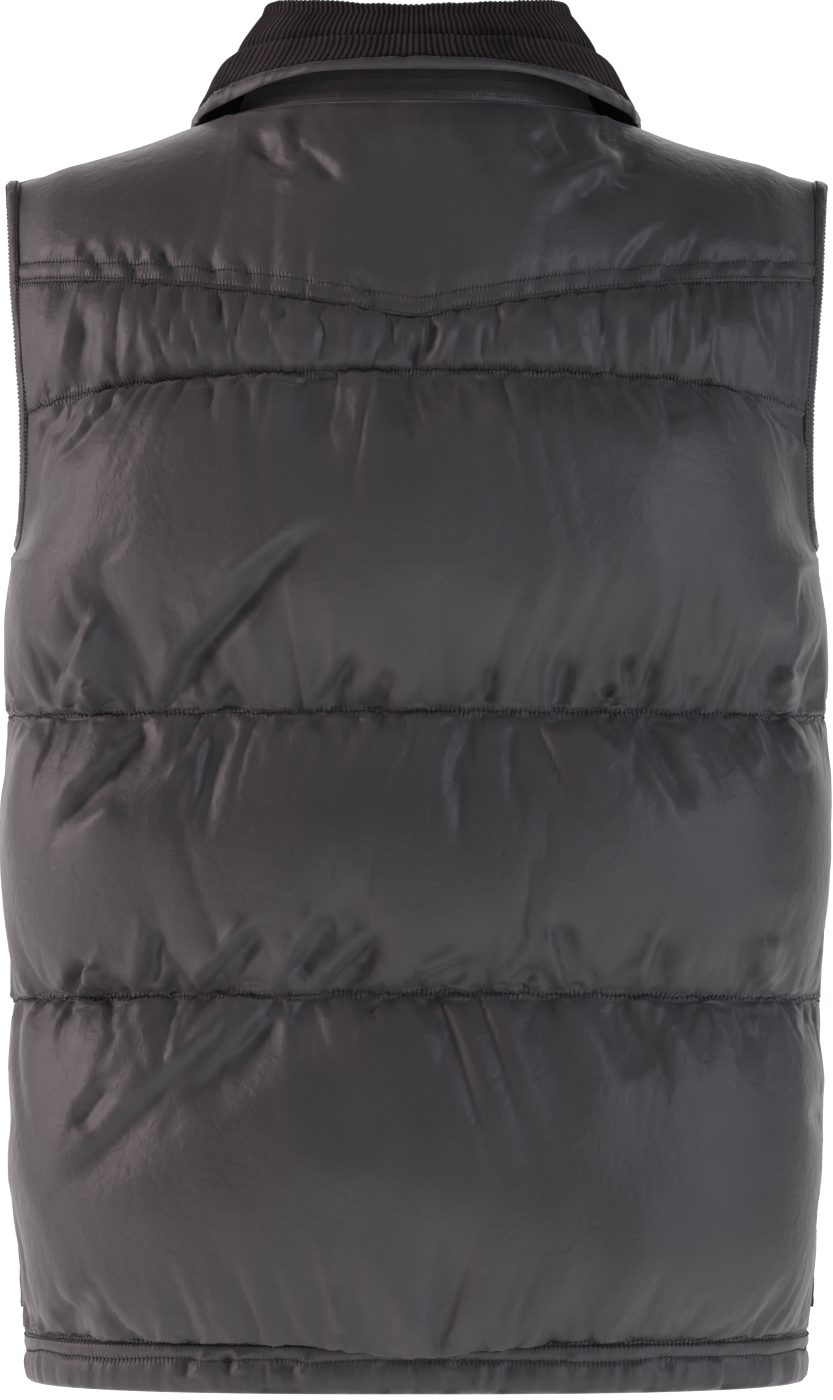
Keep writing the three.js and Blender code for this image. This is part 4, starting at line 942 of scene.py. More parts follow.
# Fronts: one quilted panel on each side from the hem up to the shoulder, thinner towards the
# zip. They don't show from behind, so their creases only follow the same manner.
HALF_FRONT = np.linspace(0, 1, 109)
FRONT_LENGTH = 285  # along a row from the zip to the side seam
FRONT_ROWS = [64, 50, 63, 56]
front_grids = {}
for hand, mirror, seed in (("left", 1, 401), ("right", -1, 507)):
    levels, inside, outward, thick, plump = padded_rows("front", 1, 5, FRONT_ROWS, HALF_FRONT)
    inside = straight_shoulder(inside, HALF_FRONT)
    run_length = FRONT_LENGTH * HALF_FRONT[None, :] + 0 * levels[:, None]
    plain = inside + outward * thick[..., None]
    u, v = plain[..., 0], plain[..., 2]
    relief = seam_gathers(levels, v, run_length, [1, 2, 3, 4], seed)
    puffed_top = ease(4, 4.25, levels)[:, None] * 0.5
    puffed = np.where((levels < 4)[:, None], ease(0.05, 0.8, plump), puffed_top)
    relief += 1.8 * soft_noise_2d(u / 60 + 50, v / 46 + 50, seed + 1) * puffed
    relief += 0.8 * soft_noise_2d(u / 24 + 50, v / 28 + 50, seed + 2) * puffed
    chance = np.random.default_rng(seed + 3)  # places a few short creases like the back's
    for _ in range(26):
        x, z = chance.uniform(25, 200), chance.uniform(-650, -120)
        slant, length = chance.uniform(-0.7, 1.4), chance.uniform(24, 70)
        path = [(x, z), (x + slant * length * 0.5, z - length)]
        relief += crease(u, v, path, chance.uniform(4, 9), chance.uniform(1, 3)) * puffed
    edge_fade = ease(0, 0.09, HALF_FRONT) * ease(1, 0.93, HALF_FRONT)
    relief *= mix(0.25, 1, edge_fade)[None, :]
    relief *= ease(5.0, 4.9, levels)[:, None]
    thick = np.maximum(thick * LOW_SHARE + LEAST_WALL, thick + relief)
    outer = inside + outward * thick[..., None]
    some = kept(len(levels), 2, rows_at(levels, QUILTING))
    some_columns = kept(len(HALF_FRONT), 2)
    held = [some.index(row) for row in rows_at(levels, (1, *QUILTING))]
    held += [k for k, row in enumerate(some) if levels[row] > 4.8]
    thinned = outer[np.ix_(some, some_columns)]
    shift = settle(thinned, held, pressure=3.4, spare=0.07, frames=14, cap=7)
    shift = spread(shift, some_columns, len(HALF_FRONT), 1)
    shift = spread(shift, some, len(levels), 0)
    calm = ease(0.98, 0.7, HALF_FRONT) * ease(0, 0.15, HALF_FRONT)
    outer = outer + shift * mix(0.08, 0.95, calm)[None, :, None]
    rows = kept(len(levels), 4, rows_at(levels, (ARMPIT_LEVEL, *QUILTING)))
    columns = kept(len(HALF_FRONT), 4)
    turn = np.array([mirror, 1, 1])
    front = closed_wall(
        "front_quilted_" + hand,
        outer * turn,
        (inside * turn)[np.ix_(rows, columns)],
        rows,
        columns,
        [shell_cloth, lining_cloth],
        seam_run=run_length,
        seam_near=hill(near_seam(levels, plain[..., 2], (1, *QUILTING)), 0, 2.1),
    )
    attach(front, "vest")
    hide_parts("front_" + hand)
    front_grids[hand] = (outer, outward)
    for row in rows_at(levels, QUILTING):
        quilting_lines.append((outer[row] + outward[row] * THREAD_LIFT) * turn)


# Hem band: a folded band of the same cloth round the foot. A channel is stitched along its top,
# and the tunnel below it is puckered over a drawcord that doesn't show.
HEM_SHARES = np.concatenate([np.linspace(0, HEM_STITCH, 9)[:-1], np.linspace(HEM_STITCH, 1, 17)])
HEM_CREASES = [  # the sharpest puckers of the tunnel on the back
    ([(113, -674), (122, -688)], 3.6, -2.2),
    ([(127, -678), (122, -688)], 3.6, 1.6),
    ([(98, -674), (96, -688)], 3.6, -2.2),
    ([(104, -675), (99, -686)], 3.6, 1.6),
    ([(58, -675), (65, -689)], 3.6, -2.2),
    ([(78, -675), (71, -687)], 3.6, 1.6),
    ([(-82, -675), (-88, -688)], 3.6, -1.8),
    ([(-130, -674), (-133, -687)], 3.6, 1.6),
    ([(-20, -676), (-16, -688)], 4, -1.2),
]


def hem_band(name, side, s, mirror, seed, node):
    """One of the three lengths of the band, from its lower edge up."""
    inside, outward, thick = [], [], []
    for share in HEM_SHARES[::-1]:
        point, down, _, up, out = row_with_directions(side, s, 1 - share)
        point = point.copy()
        point[s > 0.9999] += (0, SEAM_GAP / 2, 0)
        if share == 0:
            point -= up * SEAM_GAP / 2
        inside.append(point)
        outward.append(out)
        thick.append(wall_thickness(side, "hem", s, down, point[:, 2]))
    inside, outward, thick = np.array(inside), np.array(outward), np.array(thick)
    if side == "back":
        inside, outward, thick = mirrored(inside, outward, thick)
        s = np.concatenate([-s[:0:-1], s])
    run_length = BACK_LENGTH * s[None, :] + 0 * inside[..., 0]
    share = HEM_SHARES[::-1][:, None]
    lean = 6 * soft_noise(run_length / 40, seed + 5) * (share - HEM_STITCH)
    pucker = 0
    for k, (spacing, height) in enumerate(((5.5, 0.45), (9, 0.8), (16, 1.1), (34, 1.0))):
        wave = soft_noise((run_length + lean) * 1.7 / spacing, seed + k)
        pucker = pucker + height * (2 * np.sqrt(wave * wave + 0.02) - 0.9)
    pucker = pucker * np.clip(0.95 + 0.9 * soft_noise(run_length / 46, seed + 8), 0.55, 1.8)
    tunnel = ease(HEM_STITCH, 0.45, share) * ease(1.0, 0.9, share)
    channel = np.sin(math.pi * np.clip(share / HEM_STITCH, 0, 1))
    end_fade = ease(1, 0.97, np.abs(s))[None, :]
    thick = thick + pucker * (tunnel + 0.4 * channel) * end_fade
    if side == "back":
        u, v = seen_from_behind(inside)
        thick = thick + sum(crease(u, v, *one) for one in HEM_CREASES)
    outer = inside + outward * np.maximum(1.6, thick)[..., None]
    wander = soft_noise(run_length / 30, seed + 11) + 0.6 * soft_noise(run_length / 12, seed + 12)
    outer[..., 2] += wander * hill(share, 0.36, 0.22) * end_fade
    turn = np.array([mirror, 1, 1])
    rows, columns = kept(len(HEM_SHARES), 4), kept(outer.shape[1], 4)
    band = closed_wall(
        name,
        outer * turn,
        (inside * turn)[np.ix_(rows, columns)],
        rows,
        columns,
        [shell_cloth, lining_cloth],
        seam_run=run_length,
        seam_near=0.8 * hill(share, HEM_STITCH, 0.07) + 0.5 * hill(share, 0, 0.07),
    )
    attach(band, "vest")
    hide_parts(node)
    hem_lines.append((outer[-2] + outward[-2] * 0.4) * turn)
    hem_lines.append((outer[16] + outward[16] * 0.5) * turn)


hem_lines = []
hem_band("hem_back", "back", HALF_BACK, 1, 71, "hem_band_back")
hem_band("hem_front_left", "front", HALF_FRONT, 1, 73, "hem_band_front_left")
hem_band("hem_front_right", "front", HALF_FRONT, -1, 79, "hem_band_front_right")


# Armhole bands: a narrow folded strip of the shell cloth sewn round each armhole and stitched
# down along both of its edges, so that it stands up a little between the two rows.
BAND_SECTION = np.array([  # distance from the panel, and height off its inside
    (0.3, 0.3), (0.3, 5.2), (1.0, 5.3), (2.0, 6.2), (4.2, 6.6), (6.2, 6.1), (7.2, 5.2),
    (8.3, 4.4), (8.6, 2.4), (7.6, 0.6), (3.6, 0.0),
])
ARMHOLE_MIDDLE = np.array([214, 0, -140])


def armhole_stations():
    """Points of the armhole seam with their outward directions, from the armpit up the back."""
    back = levels_between("back", 0, 6, [2, 2, 2, 108, 28, 60])
    front = levels_between("front", 0, 5, [2, 2, 2, 108, 84])[::-1][1:]
    stations = [("back", ARMPIT_LEVEL)]
    stations += [("back", level) for level in back if level > ARMPIT_LEVEL + 1e-6]
    stations += [("front", level) for level in front if level > ARMPIT_LEVEL + 1e-6]
    points, outs = [], []
    for side, level in stations:
        point, _, _, _, out = row_with_directions(side, np.array([1.0]), level)
        points.append(point[0])
        outs.append(out[0])
    outs[0] = np.array([1.0, 0, 0])
    return np.array(points), np.array(outs)


def rounded_loop(corners, times):
    """A closed outline with its corners cut off, so that it reads as folded cloth."""
    for _ in range(times):
        after = np.roll(corners, -1, axis=0)
        corners = np.stack([mix(corners, after, 0.25), mix(corners, after, 0.75)], axis=1)
        corners = corners.reshape(-1, corners.shape[-1])
    return corners


def closed_ring(name, sections, material):
    """A closed mesh through sections that each hold the same loop of points."""
    ids = np.arange(sections[..., 0].size).reshape(sections.shape[:2])
    faces = quads_of(np.pad(ids, ((0, 1), (0, 1)), mode="wrap"))
    points = sections.reshape(-1, 3) / 1000
    if volume_of(points, faces) < 0:
        faces = faces[:, ::-1]
    return linked(name, smooth_mesh(name, points, faces.tolist(), [material]))


def distance_along(points):
    """How far along a line each of its points lies."""
    return np.concatenate([[0], np.cumsum(np.linalg.norm(np.diff(points, axis=0), axis=1))])


band_points, band_outs = armhole_stations()
tangents = unit(np.roll(band_points, -1, axis=0) - np.roll(band_points, 1, axis=0))
across = unit(np.cross(tangents, band_outs))
inward = ARMHOLE_MIDDLE - band_points
inward[:, 0] = np.abs(inward[:, 0])
towards = across[:, 0] * inward[:, 0] + across[:, 1] * inward[:, 1] + across[:, 2] * inward[:, 2]
across[towards < 0] *= -1
band_length = distance_along(band_points)
band_loop = rounded_loop(BAND_SECTION, 2)
band_lines = []
for hand, mirror, seed in (("left", 1, 601), ("right", -1, 607)):
    turn = np.array([mirror, 1, 1])
    pull = 0.35 * soft_noise(band_length / 3.4, seed) + 0.3 * soft_noise(band_length / 9, seed + 1)
    puffed = hill(band_loop[:, 0], 4.2, 2.2) * (band_loop[:, 1] > 3)
    high = band_loop[None, :, 1] + pull[:, None] * puffed[None, :]
    waver = 0.25 * soft_noise(band_length / 14, seed + 2)
    wide = band_loop[None, :, 0] + waver[:, None] * (band_loop[None, :, 0] > 6)
    sections = band_points[:, None] + across[:, None] * wide[..., None]
    sections = sections + band_outs[:, None] * high[..., None]
    band = closed_ring("armhole_binding_" + hand, sections * turn, shell_cloth)
    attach(band, "vest")
    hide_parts("armhole_band_" + hand)
    for away, above in ((1.3, 5.75), (7.3, 5.3)):  # its two rows of stitches
        line = (band_points + across * away + band_outs * above) * turn
        band_lines.append(np.concatenate([line, line[:1]]))


# Collar: a stand sewn to the neckline and a fall turned down over it, in two layers. The upper
# one is wide-wale cotton corduroy, and its ridges run down the fall. The lower one is the shell
# cloth, which rolls out below the corduroy as a thin edge.
COLLAR = np.array([  # share of the half collar, point on the fold, point on the edge of the fall
    (0.00, 0, 62, 51, 0, 90, 17), (0.15, 30, 58, 52, 40, 86, 16.5),
    (0.30, 57, 46, 54.5, 78, 68, 13), (0.42, 74, 27, 56, 106, 38, 6),
    (0.50, 79, 10, 56, 119, 10, -3), (0.60, 78, -13, 48, 121, -22, -18),
    (0.70, 69, -38, 31, 113, -52, -38), (0.80, 54, -60, 9, 100, -74, -60),
    (0.90, 34, -79, -20, 83, -92, -84), (1.00, 14, -92, -48, 62, -108, -104),
])
BACK_NECK_SHARE = 0.46  # share of the half collar that lies along the back of the neck
ROLL_RADIUS = 5
COLLAR_LAYER = 2.3  # thickness of the cloth on each side of the collar's middle
COLLAR_REVEAL = 6.5  # how far the under collar shows below the corduroy
HALF_COLLAR = 300
UP = np.array([0.0, 0, 1])


def at_top_edge(side, s):
    """Points of the neckline at an array of s, with the outward direction of the cloth."""
    order = np.argsort(s)
    point, _, _, _, out = row_with_directions(side, s[order], float(len(LEVELS[side])))
    back = np.argsort(order)
    return point[back] + 2.25 * out[back], out[back]


def neck_edge(share):
    point, out = np.zeros((len(share), 3)), np.zeros((len(share), 3))
    on_back = share <= BACK_NECK_SHARE
    for side, here, s in (
        ("back", on_back, 0.5 * share / BACK_NECK_SHARE),
        ("front", ~on_back, 0.5 * (1 - share) / (1 - BACK_NECK_SHARE)),
    ):
        if here.any():
            point[here], out[here] = at_top_edge(side, s[here])
    return point, out


def neck_seam(share):
    point, out = neck_edge(share)
    before = neck_edge(np.maximum(0, share - 0.02))[0]
    after = neck_edge(np.minimum(1, share + 0.02))[0]
    tangent = unit(after - before)
    tangent[share < 0.001] = (1, 0, 0)
    into = unit(np.cross(tangent, out))
    wrong = np.einsum("ij,ij->i", into, np.array([0, -10, 20]) - point) < 0
    into[wrong] *= -1
    into[share > 0.999] = unit(into[share > 0.999] * (0, 1, 1))
    return point, into


def clear_of_shoulder(p, distance):
    """Moves points of the fall off the shoulder or the chest where they would sink in."""
    result = p.copy()
    for side, here in (("back", p[:, 1] >= 0), ("front", p[:, 1] < 0)):
        if not here.any():
            continue
        facing = 1 if side == "back" else -1
        start, roundness = SLOPE[side]
        column = 2 if side == "back" else 3

        def height_over(x, y):
            full = read_table(BODY_SECTIONS, -60.0, column) * (1 - (x / 224) ** 2.4) ** (1 / 2.4)
            ratio = np.clip(y / full, 0, 0.999)
            ridge = read_table(SHOULDER_RIDGE, x, 1)
            return start + (ridge - start) * (1 - ratio**roundness) ** (1 / roundness)

        x, y = np.abs(p[here, 0]), np.abs(p[here, 1])
        slope_x = height_over(x + 0.5, y) - height_over(np.abs(x - 0.5), y)
        slope_y = height_over(x, y + 0.5) - height_over(x, np.maximum(0, y - 0.5))
        normal = unit(np.stack([-slope_x, -slope_y * facing, np.ones(len(x))], axis=-1))
        gap = (p[here, 2] - height_over(x, y)) * normal[:, 2]
        wanted = distance + 4.5 + 5 * ease(0, 45, y)
        result[here] += normal * np.maximum(0, wanted - gap)[:, None]
    return result


def collar_lines(share, parts):
    """Middle of the collar's cloth, for an array of shares: points and directions off its face.
    A part is a place on the stand, round the roll, or down the fall, or mm up from the edge."""
    seam, into = neck_seam(share)
    fold = np.stack([read_table(COLLAR, share, k) for k in (1, 2, 3)], axis=-1)
    edge = np.stack([read_table(COLLAR, share, k) for k in (4, 5, 6)], axis=-1)
    edge = clear_of_shoulder(edge, COLLAR_LAYER + 0.8)
    outward = unit((edge - seam + (1e-6, 0, 0)) * (1, 1, 0))
    middle = fold - ROLL_RADIUS * UP

    def on_roll(turn):
        return middle - outward * ROLL_RADIUS * math.cos(turn) + UP * ROLL_RADIUS * math.sin(turn)

    stand_top, fall_top = on_roll(0), on_roll(math.pi)
    rise = unit(stand_top - seam)
    turn = np.linalg.norm(np.cross(rise, into), axis=1)
    foot = seam + into * (SEAM_GAP + 0.1 + 1.3 * COLLAR_LAYER * turn)[:, None]
    fall_length = np.linalg.norm(edge - fall_top, axis=1)
    fall_out = unit(np.cross(np.cross(outward, UP), unit(edge - fall_top)))
    turned = np.where((fall_out[:, :2] * outward[:, :2]).sum(1) > 0, 1, -1)[:, None]
    points = []
    for kind, value in parts:
        if kind == "stand":
            points.append(mix(foot, stand_top, value))
        elif kind == "roll":
            points.append(on_roll(value * math.pi))
        else:
            v = (1 - value / fall_length) if kind == "up" else np.full(len(share), float(value))
            swell = 2.2 * np.sin(math.pi * v) - 3.6 * hill(v, 0.42, 0.07)
            swell += 1.8 * hill(v, 0.60, 0.13)
            p = mix(fall_top, edge, v[:, None]) + fall_out * turned * swell[:, None]
            points.append(clear_of_shoulder(p, COLLAR_LAYER + 0.8))
    points = np.array(points)
    around = unit(np.cross(outward, UP))
    normals = np.zeros(points.shape)
    for k, (kind, value) in enumerate(parts):
        after, before = points[min(len(parts) - 1, k + 1)], points[max(0, k - 1)]
        normal = unit(np.cross(around, unit(after - before)))
        away = (normal[:, :2] * outward[:, :2]).sum(1)
        if kind in ("fall", "up"):
            wrong = away < 0
        elif kind == "stand":
            wrong = away > 0
        else:
            wrong = np.where(np.abs(normal[:, 2]) < 0.2, away * (value - 0.5), normal[:, 2]) < 0
        normals[k] = np.where(wrong[:, None], -normal, normal)
    return points, normals


def collar_grid(signed, parts, over):
    """Rows of points over the whole collar; over gives the height above the middle line."""
    half = np.abs(signed)
    points, normals = collar_lines(half, parts)
    grid = points + normals * over[..., None]
    grid[..., 0] *= np.where(signed < 0, -1, 1)[None, :]
    return grid


stand_parts = [("stand", v) for v in np.linspace(0, 1, 13)]
roll_parts = [("roll", v) for v in np.linspace(0.1, 0.9, 9)]
fall_parts = [("fall", v) for v in np.linspace(0.02, 0.80, 30)]
low_parts = [("up", mm) for mm in np.linspace(9, COLLAR_REVEAL, 4)]
cord_parts = stand_parts + roll_parts + fall_parts + low_parts
WALES, WALE_COLUMNS = 138, 4  # ridges round the collar, and how finely each is drawn
fine = np.linspace(-1, 1, WALES * WALE_COLUMNS + 1)
wave = np.cos(2 * math.pi * np.arange(len(fine)) / WALE_COLUMNS)
crest = np.tile(wave * 0.5 + 0.5, (len(cord_parts), 1))
relief = 0.95 * (crest**0.7 - 0.5)
rows_down = np.linspace(0, 1, len(cord_parts))[:, None]
soft = 0.5 * soft_noise_2d(fine[None, :] * 14 + 60, rows_down * 5 + 10, 21)
soft += 0.25 * soft_noise_2d(fine[None, :] * 45 + 60, rows_down * 7 + 10, 22)
edge_roll = np.array([0.0] * (len(cord_parts) - 3) + [-0.15, -0.5, -1.2])[:, None]
outer = collar_grid(fine, cord_parts, COLLAR_LAYER + relief + soft + edge_roll)
rows, columns = kept(len(cord_parts), 3), kept(len(fine), 8)
half_gap = np.full((len(rows), len(columns)), SEAM_GAP / 2)
inner = collar_grid(fine[columns], [cord_parts[k] for k in rows], half_gap)


# Cotton corduroy, nearly black. The tops of the ridges are painted lighter and the grooves between
# them darker: partly dye that the ridges have lost, partly a painted highlight on the ridges and
# painted shade in the grooves. The pile gives a dull bloom at grazing angles.
corduroy, tree, surface = new_material("wide_wale_corduroy")
ridge = add_node(tree, "ShaderNodeAttribute", attribute_name="crest").outputs["Fac"]
place = add_node(tree, "ShaderNodeTexCoord").outputs["Object"]
# patchy dye loss mixed with a painted highlight on the ridge tops and painted shade in the grooves
dye_loss_and_painted_light = calculated(tree, "MULTIPLY", ridge, noise(tree, place, 45.0))
tree.links.new(two_tone(tree, dye_loss_and_painted_light, "#080708", "#3a3335", 0.05, 0.62), surface["Base Color"])
surface["Roughness"].default_value = 0.95
surface["Specular IOR Level"].default_value = 0.15
surface["Sheen Weight"].default_value = 0.25
surface["Sheen Roughness"].default_value = 0.6
surface["Sheen Tint"].default_value = srgb("#8a7f80")
tree.links.new(bump(tree, noise(tree, place, 900.0), 0.5, 0.0004), surface["Normal"])

corduroy_collar = closed_wall(
    "collar_corduroy_face", outer, inner, rows, columns, [corduroy], crest=crest
)
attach(corduroy_collar, "vest")
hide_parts("collar_corduroy")

# The under collar: its edge is a bead that droops between the middle of the back and the
# shoulders, and the foot of its stand is puckered by two rows of stitches.
bead_parts = [("up", mm) for mm in (6.6, 6.2, 5.6, 4.8, 3.9, 3.0, 2.0, 1.1, 0.4, 0.0)]
bead_over = np.array([-0.15, 0.9, 1.7, 2.3, 2.65, 2.7, 2.4, 1.7, 0.8, -0.2])
shell_parts = stand_parts[::2] + roll_parts[::2] + fall_parts[::3] + bead_parts
fine = np.linspace(-1, 1, 301)
over = np.concatenate([np.full(len(shell_parts) - len(bead_parts), -0.15), bead_over])
over = over[:, None] + 0 * fine[None, :]
on_bead = over > 0.5
over += on_bead * (0.7 * soft_noise(fine * 34, 31) + 0.45 * soft_noise(fine * 110, 32))[None, :]
drop = 5.0 * hill(np.abs(fine), 0.40, 0.11)
over += on_bead * (drop * 0.35 * soft_noise(fine * 60, 35))[None, :]
outer = collar_grid(fine, shell_parts, over)
outer[-10:, :, 2] -= drop * np.linspace(0, 1, 10)[:, None]
foot = np.linspace(0, 0.36, 12)
under_parts = [("stand", v) for v in np.concatenate([foot, np.linspace(0.45, 1, 6)])]
under_parts += roll_parts[::2] + fall_parts[::3]
under_parts += [("up", mm) for mm in (6.5, 5, 3.4, 1.8, 0.7, 0.0)]
thick = np.full((len(under_parts), len(fine)), COLLAR_LAYER)
thick[-4:] *= np.array([1.15, 1.1, 0.9, 0.5])[:, None]
height_up = foot[:, None] * 50
stand_puff = 0.9 * hill(height_up, 4.6, 2.4) - 0.35 * hill(height_up, 9.0, 1.0)
u = fine[None, :] * HALF_COLLAR
ripples = 0.35 * soft_noise_2d(u / 5, height_up / 9 + 10, 33)
thick[: len(foot)] += stand_puff + ripples * ease(1, 4, height_up)
inner = collar_grid(fine, under_parts, -thick)
inner[-6:, :, 2] -= drop * np.linspace(0, 1, 6)[:, None]


def closed_sheet(name, face, back, material):
    """A closed mesh between two grids with the same columns, whose rows need not match."""
    rows = np.concatenate([face, back[::-1]])
    ids = np.arange(rows[..., 0].size).reshape(rows.shape[:2])
    quads = quads_of(np.concatenate([ids, ids[:1]]))
    faces = [tuple(f) for f in quads]
    points = rows.reshape(-1, 3) / 1000
    for column, turned in ((0, False), (-1, True)):
        top, low = ids[: len(face), column], ids[len(face) :, column][::-1]
        i = j = 0
        while i < len(top) - 1 or j < len(low) - 1:
            share_i = (i + 1) / (len(top) - 1) if i < len(top) - 1 else 9
            share_j = (j + 1) / (len(low) - 1) if j < len(low) - 1 else 9
            if share_i <= share_j:
                made_face = (top[i], top[i + 1], low[j])
                i += 1
            else:
                made_face = (top[i], low[j + 1], low[j])
                j += 1
            faces.append(made_face[::-1] if turned else made_face)
    if volume_of(points, quads) < 0:
        faces = [f[::-1] for f in faces]
    return linked(name, smooth_mesh(name, points, faces, [material]))


collar_under = closed_sheet("collar_shell_under", outer, inner, shell_cloth)
collar_stitches = [outer[-7], inner[2], inner[8]]
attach(collar_under, "vest")
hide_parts("collar_shell")


# Hand pockets: a slanted welt of the shell cloth on each front, folded over and sewn down.
# From behind only its edge shows, close to the side seam.
WELT = np.array([  # share of its length, place across the front, and down the lowest channel
    (0, 0.64, 0.2), (0.5, 0.8, 0.5), (1, 0.955, 0.84),
])
WELT_WIDTH = 20
front_edge_lines = []
for hand, mirror in SIDES:
    grid, outs = front_grids[hand]
    last_row, last_column = FRONT_ROWS[0], len(HALF_FRONT) - 1

    def on_front(s, level):
        """A place on the outside of the front, evened out over the little gathers."""
        row, column = (level - 1) * last_row, s * last_column
        points = 0
        for dr in (-3, 0, 3):
            for dc in (-2, 0, 2):
                r = min(max(row + dr, 0), last_row)
                c = min(max(column + dc, 0), last_column)
                i, j = min(int(r), last_row - 1), min(int(c), last_column - 1)
                before = mix(grid[i, j], grid[i + 1, j], r - i)
                after = mix(grid[i, j + 1], grid[i + 1, j + 1], r - i)
                points = points + mix(before, after, c - j)
        return points / 9, outs[min(int(row), last_row), min(int(column), last_column)]

    face, back = [], []
    for at in np.linspace(0, 1, 56):
        s, down = float(read_table(WELT, at, 1)), float(read_table(WELT, at, 2))
        here, _ = on_front(s, 2 - down)
        beside, _ = on_front(s - 0.02, 2 - down)
        face_row, back_row = [], []
        for share in np.linspace(0, 1, 12):
            step = WELT_WIDTH * share / np.linalg.norm(here - beside)
            place, out = on_front(s - 0.02 * step, 2 - down + 0.06 * share)
            crown = 2.6 + 1.3 * math.sin(math.pi * share) ** 0.6
            crown += 0.25 * math.sin(at * 37 + share * 3) - 0.7 * hill(share, 0.12, 0.05)
            face_row.append(place + out * (crown + 0.9))
            back_row.append(place + out * 0.9)
        face.append(face_row)
        back.append(back_row)
    turn = np.array([mirror, 1, 1])
    rows, columns = kept(56, 3), kept(12, 3)
    face, back = np.array(face) * turn, (np.array(back) * turn)[np.ix_(rows, columns)]
    welt = closed_wall("pocket_welt_cloth_" + hand, face, back, rows, columns, [shell_cloth])
    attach(welt, "vest")
    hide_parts("pocket_welt_" + hand)
    front_edge_lines.append((grid[:, 2] + outs[:, 2] * 0.2) * turn)
    front_edge_lines.append(face[:, 1])


# Zip: a woven polyester tape with metal teeth on each front edge. The slider and its pull are
# the imported ones and only get their metal here.
zip_points, zip_outs = [], []
for level in levels_between("front", 0, 5, [6, 24, 20, 26, 24]):
    point, _, _, _, out = row_with_directions("front", np.array([0.0]), level)
    zip_points.append(point[0] * (0, 1, 1))
    zip_outs.append(unit(out[0] * (0, 1, 1)))
zip_outs = np.array(zip_outs)
zip_middle = np.array(zip_points) + zip_outs * 1.5

zip_tape, tree, surface = new_material("woven_polyester_tape")
place = add_node(tree, "ShaderNodeTexCoord").outputs["Object"]
fuzz = noise(tree, place, 500.0)
tree.links.new(two_tone(tree, fuzz, "#1c1b1c", "#302f30"), surface["Base Color"])
ribs = waves(tree, place, 420.0, "Z")
tree.links.new(bump(tree, ribs, 0.5, 0.0003), surface["Normal"])
surface["Roughness"].default_value = 0.85

# Dark plated brass: smooth, a little darker in patches where hands have dulled the plating.
zip_metal, tree, surface = new_material("dark_plated_brass")
place = add_node(tree, "ShaderNodeTexCoord").outputs["Object"]
dull = noise(tree, place, 220.0, 5.0)
tree.links.new(two_tone(tree, dull, "#3f3c38", "#6d6860"), surface["Base Color"])
tree.links.new(within(tree, dull, 0.25, 0.5), surface["Roughness"])
surface["Metallic"].default_value = 1.0
for node in ("zip_slider", "zip_pull"):
    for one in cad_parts[node].material_slots:
        one.material = zip_metal

TAPE_SECTION = np.array([  # distance from the middle of the zip, and height off the tape's middle
    (0.3, 0.55), (7.2, 0.55), (7.2, -0.55), (0.3, -0.55),
])
for hand, mirror in SIDES:
    loops = []
    for middle, out in zip(zip_middle, zip_outs):
        loops.append([middle + out * off + (x * mirror, 0, 0) for x, off in TAPE_SECTION])
    loops = np.array(loops)
    rows = list(range(len(loops)))
    tape = closed_wall(
        "zip_tape_woven_" + hand, loops[:, :2], loops[:, [3, 2]], rows, [0, 1], [zip_tape]
    )
    tape.data.polygons.foreach_set("use_smooth", [False] * len(tape.data.polygons))
    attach(tape, "vest")
    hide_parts("zip_tape_" + hand)


def piece_along_lines(name, lines, tree, material):
    """Runs a node tree over open lines (millimetres) and keeps the result as a plain mesh."""
    points, edges = [], []
    for line in lines:
        start = len(points)
        points += [tuple(p / 1000) for p in line]
        edges += [(start + k, start + k + 1) for k in range(len(line) - 1)]
    mesh = bpy.data.meshes.new(name + "_path")
    mesh.from_pydata(points, edges, [])
    path = linked(name + "_path", mesh)
    modifier = path.modifiers.new("repeat", "NODES")
    modifier.node_group = tree
    sockets = {one.name: one for one in tree.interface.items_tree if one.item_type == "SOCKET"}
    modifier[sockets["Material"].identifier] = material
    graph = bpy.context.evaluated_depsgraph_get()
    result = bpy.data.meshes.new_from_object(path.evaluated_get(graph))
    bpy.data.objects.remove(path)
    result.name = name
    if not result.materials:
        result.materials.append(material)
    return linked(name, result)


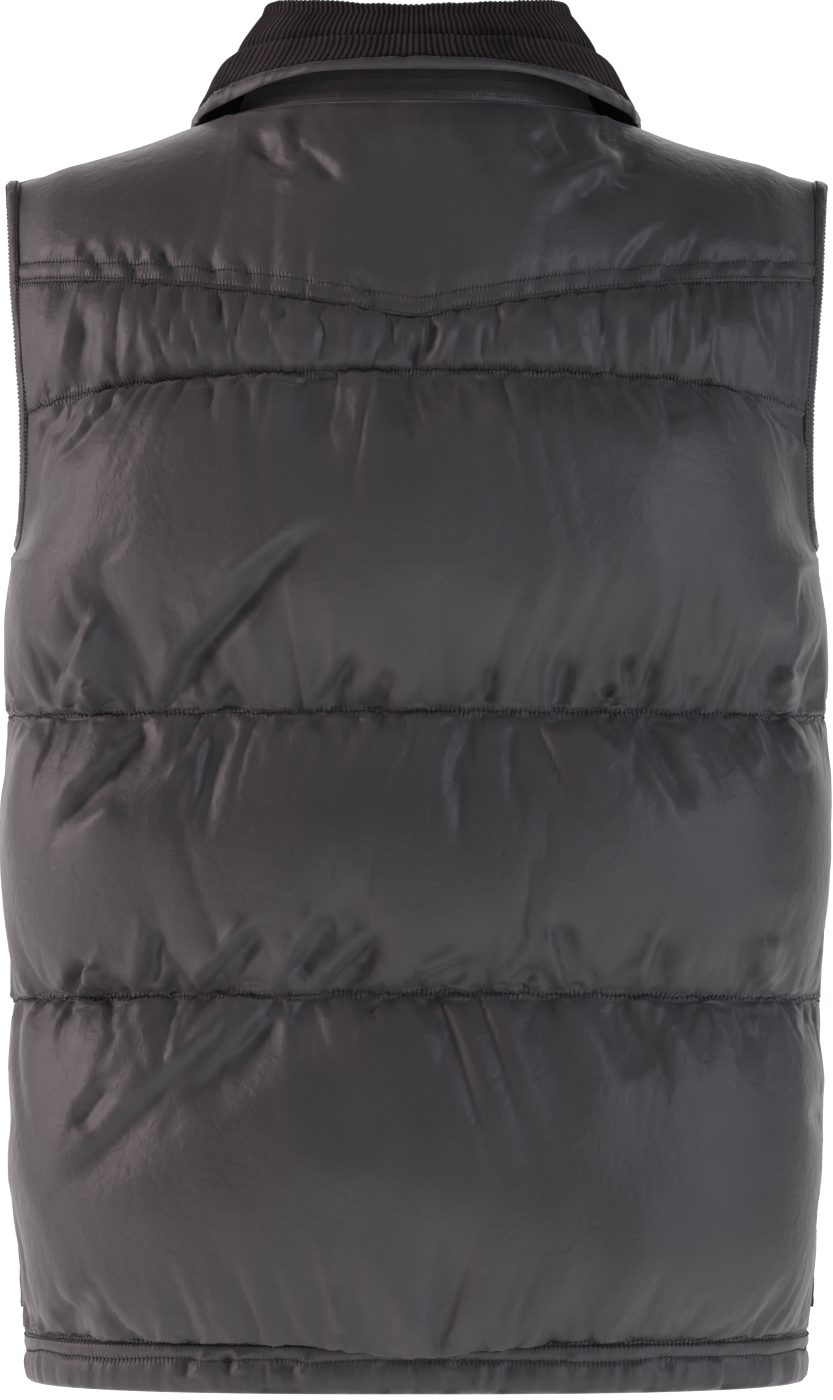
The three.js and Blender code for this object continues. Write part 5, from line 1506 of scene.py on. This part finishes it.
def repeat_tree(name, shape, sizes, seed):
    """A node tree that sets one small shape at even steps along every line it is given."""
    tree = bpy.data.node_groups.new(name, "GeometryNodeTree")
    tree.interface.new_socket(name="Geometry", in_out="INPUT", socket_type="NodeSocketGeometry")
    for key, value in sizes.items():
        socket = tree.interface.new_socket(name=key, in_out="INPUT", socket_type="NodeSocketFloat")
        socket.default_value = value
    tree.interface.new_socket(name="Material", in_out="INPUT", socket_type="NodeSocketMaterial")
    tree.interface.new_socket(name="Geometry", in_out="OUTPUT", socket_type="NodeSocketGeometry")
    given = add_node(tree, "NodeGroupInput").outputs
    curve = add_node(tree, "GeometryNodeMeshToCurve", {"Mesh": given["Geometry"]}).outputs["Curve"]
    inputs = {"Curve": curve, "Length": given["Pitch"]}
    steps = add_node(tree, "GeometryNodeCurveToPoints", inputs, mode="LENGTH").outputs
    inputs = {"Vector": steps["Tangent"]}
    turned = add_node(tree, "FunctionNodeAlignRotationToVector", inputs, axis="X")
    inputs = {"Min": 0.85, "Max": 1.15, "Seed": seed}
    uneven = add_node(tree, "FunctionNodeRandomValue", inputs, data_type="FLOAT")
    inputs = {"X": given["Length"], "Y": given["Width"], "Z": given["Height"]}
    size = add_node(tree, "ShaderNodeCombineXYZ", inputs).outputs["Vector"]
    inputs = {
        "Points": steps["Points"],
        "Instance": add_node(tree, *shape).outputs["Mesh"],
        "Rotation": turned.outputs["Rotation"],
        "Scale": scaled(tree, size, uneven.outputs["Value"]),
    }
    placed = add_node(tree, "GeometryNodeInstanceOnPoints", inputs).outputs["Instances"]
    real = add_node(tree, "GeometryNodeRealizeInstances", {"Geometry": placed})
    inputs = {"Geometry": real.outputs["Geometry"], "Material": given["Material"]}
    covered = add_node(tree, "GeometryNodeSetMaterial", inputs)
    add_node(tree, "NodeGroupOutput", {"Geometry": covered.outputs["Geometry"]})
    return tree


TOOTH = {"Pitch": 0.0026, "Length": 0.0012, "Width": 0.0032, "Height": 0.0024}
teeth_tree = repeat_tree("zip_teeth", ("GeometryNodeMeshCube", {"Size": (1, 1, 1)}), TOOTH, 5)
for hand, mirror in SIDES:
    shift = 0.0 if mirror > 0 else 1.3  # half a step, so that the teeth of the two sides mesh
    lengths = distance_along(zip_middle)
    wanted = np.linspace(2 + shift, lengths[-1] - 3 + shift, 160)
    line = np.stack([np.interp(wanted, lengths, zip_middle[:, k]) for k in range(3)], axis=-1)
    line[:, 0] = mirror
    row = piece_along_lines("zip_teeth_" + hand, [line], teeth_tree, zip_metal)
    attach(row, "vest")


# Stitching: polyester thread in a lockstitch of about ten stitches in 25 mm. Each stitch lies
# in the dip that it pulls into the cloth, so it only shows as a short dark dash.
thread, tree, surface = new_material("polyester_thread")
place = add_node(tree, "ShaderNodeTexCoord").outputs["Object"]
twist = waves(tree, place, 900.0, "DIAGONAL")
tree.links.new(two_tone(tree, twist, "#070708", "#171617"), surface["Base Color"])
tree.links.new(bump(tree, twist, 0.4, 0.0001), surface["Normal"])
surface["Roughness"].default_value = 0.6
surface["Sheen Weight"].default_value = 0.2

STITCH = {"Pitch": 0.0024, "Length": 0.0016, "Width": 0.0010, "Height": 0.0009}
thread_shape = ("GeometryNodeMeshIcoSphere", {"Radius": 0.5, "Subdivisions": 1})
stitch_tree = repeat_tree("stitches", thread_shape, STITCH, 9)
for name, lines in (
    ("quilting_stitches", quilting_lines),
    ("yoke_topstitching", yoke_lines),
    ("hem_stitching", hem_lines),
    ("armhole_stitching", band_lines),
    ("collar_stitching", collar_stitches),
    ("front_edge_stitching", front_edge_lines),
):
    made = piece_along_lines(name, lines, stitch_tree, thread)
    made.data.polygons.foreach_set("use_smooth", [True] * len(made.data.polygons))
    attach(made, "vest")
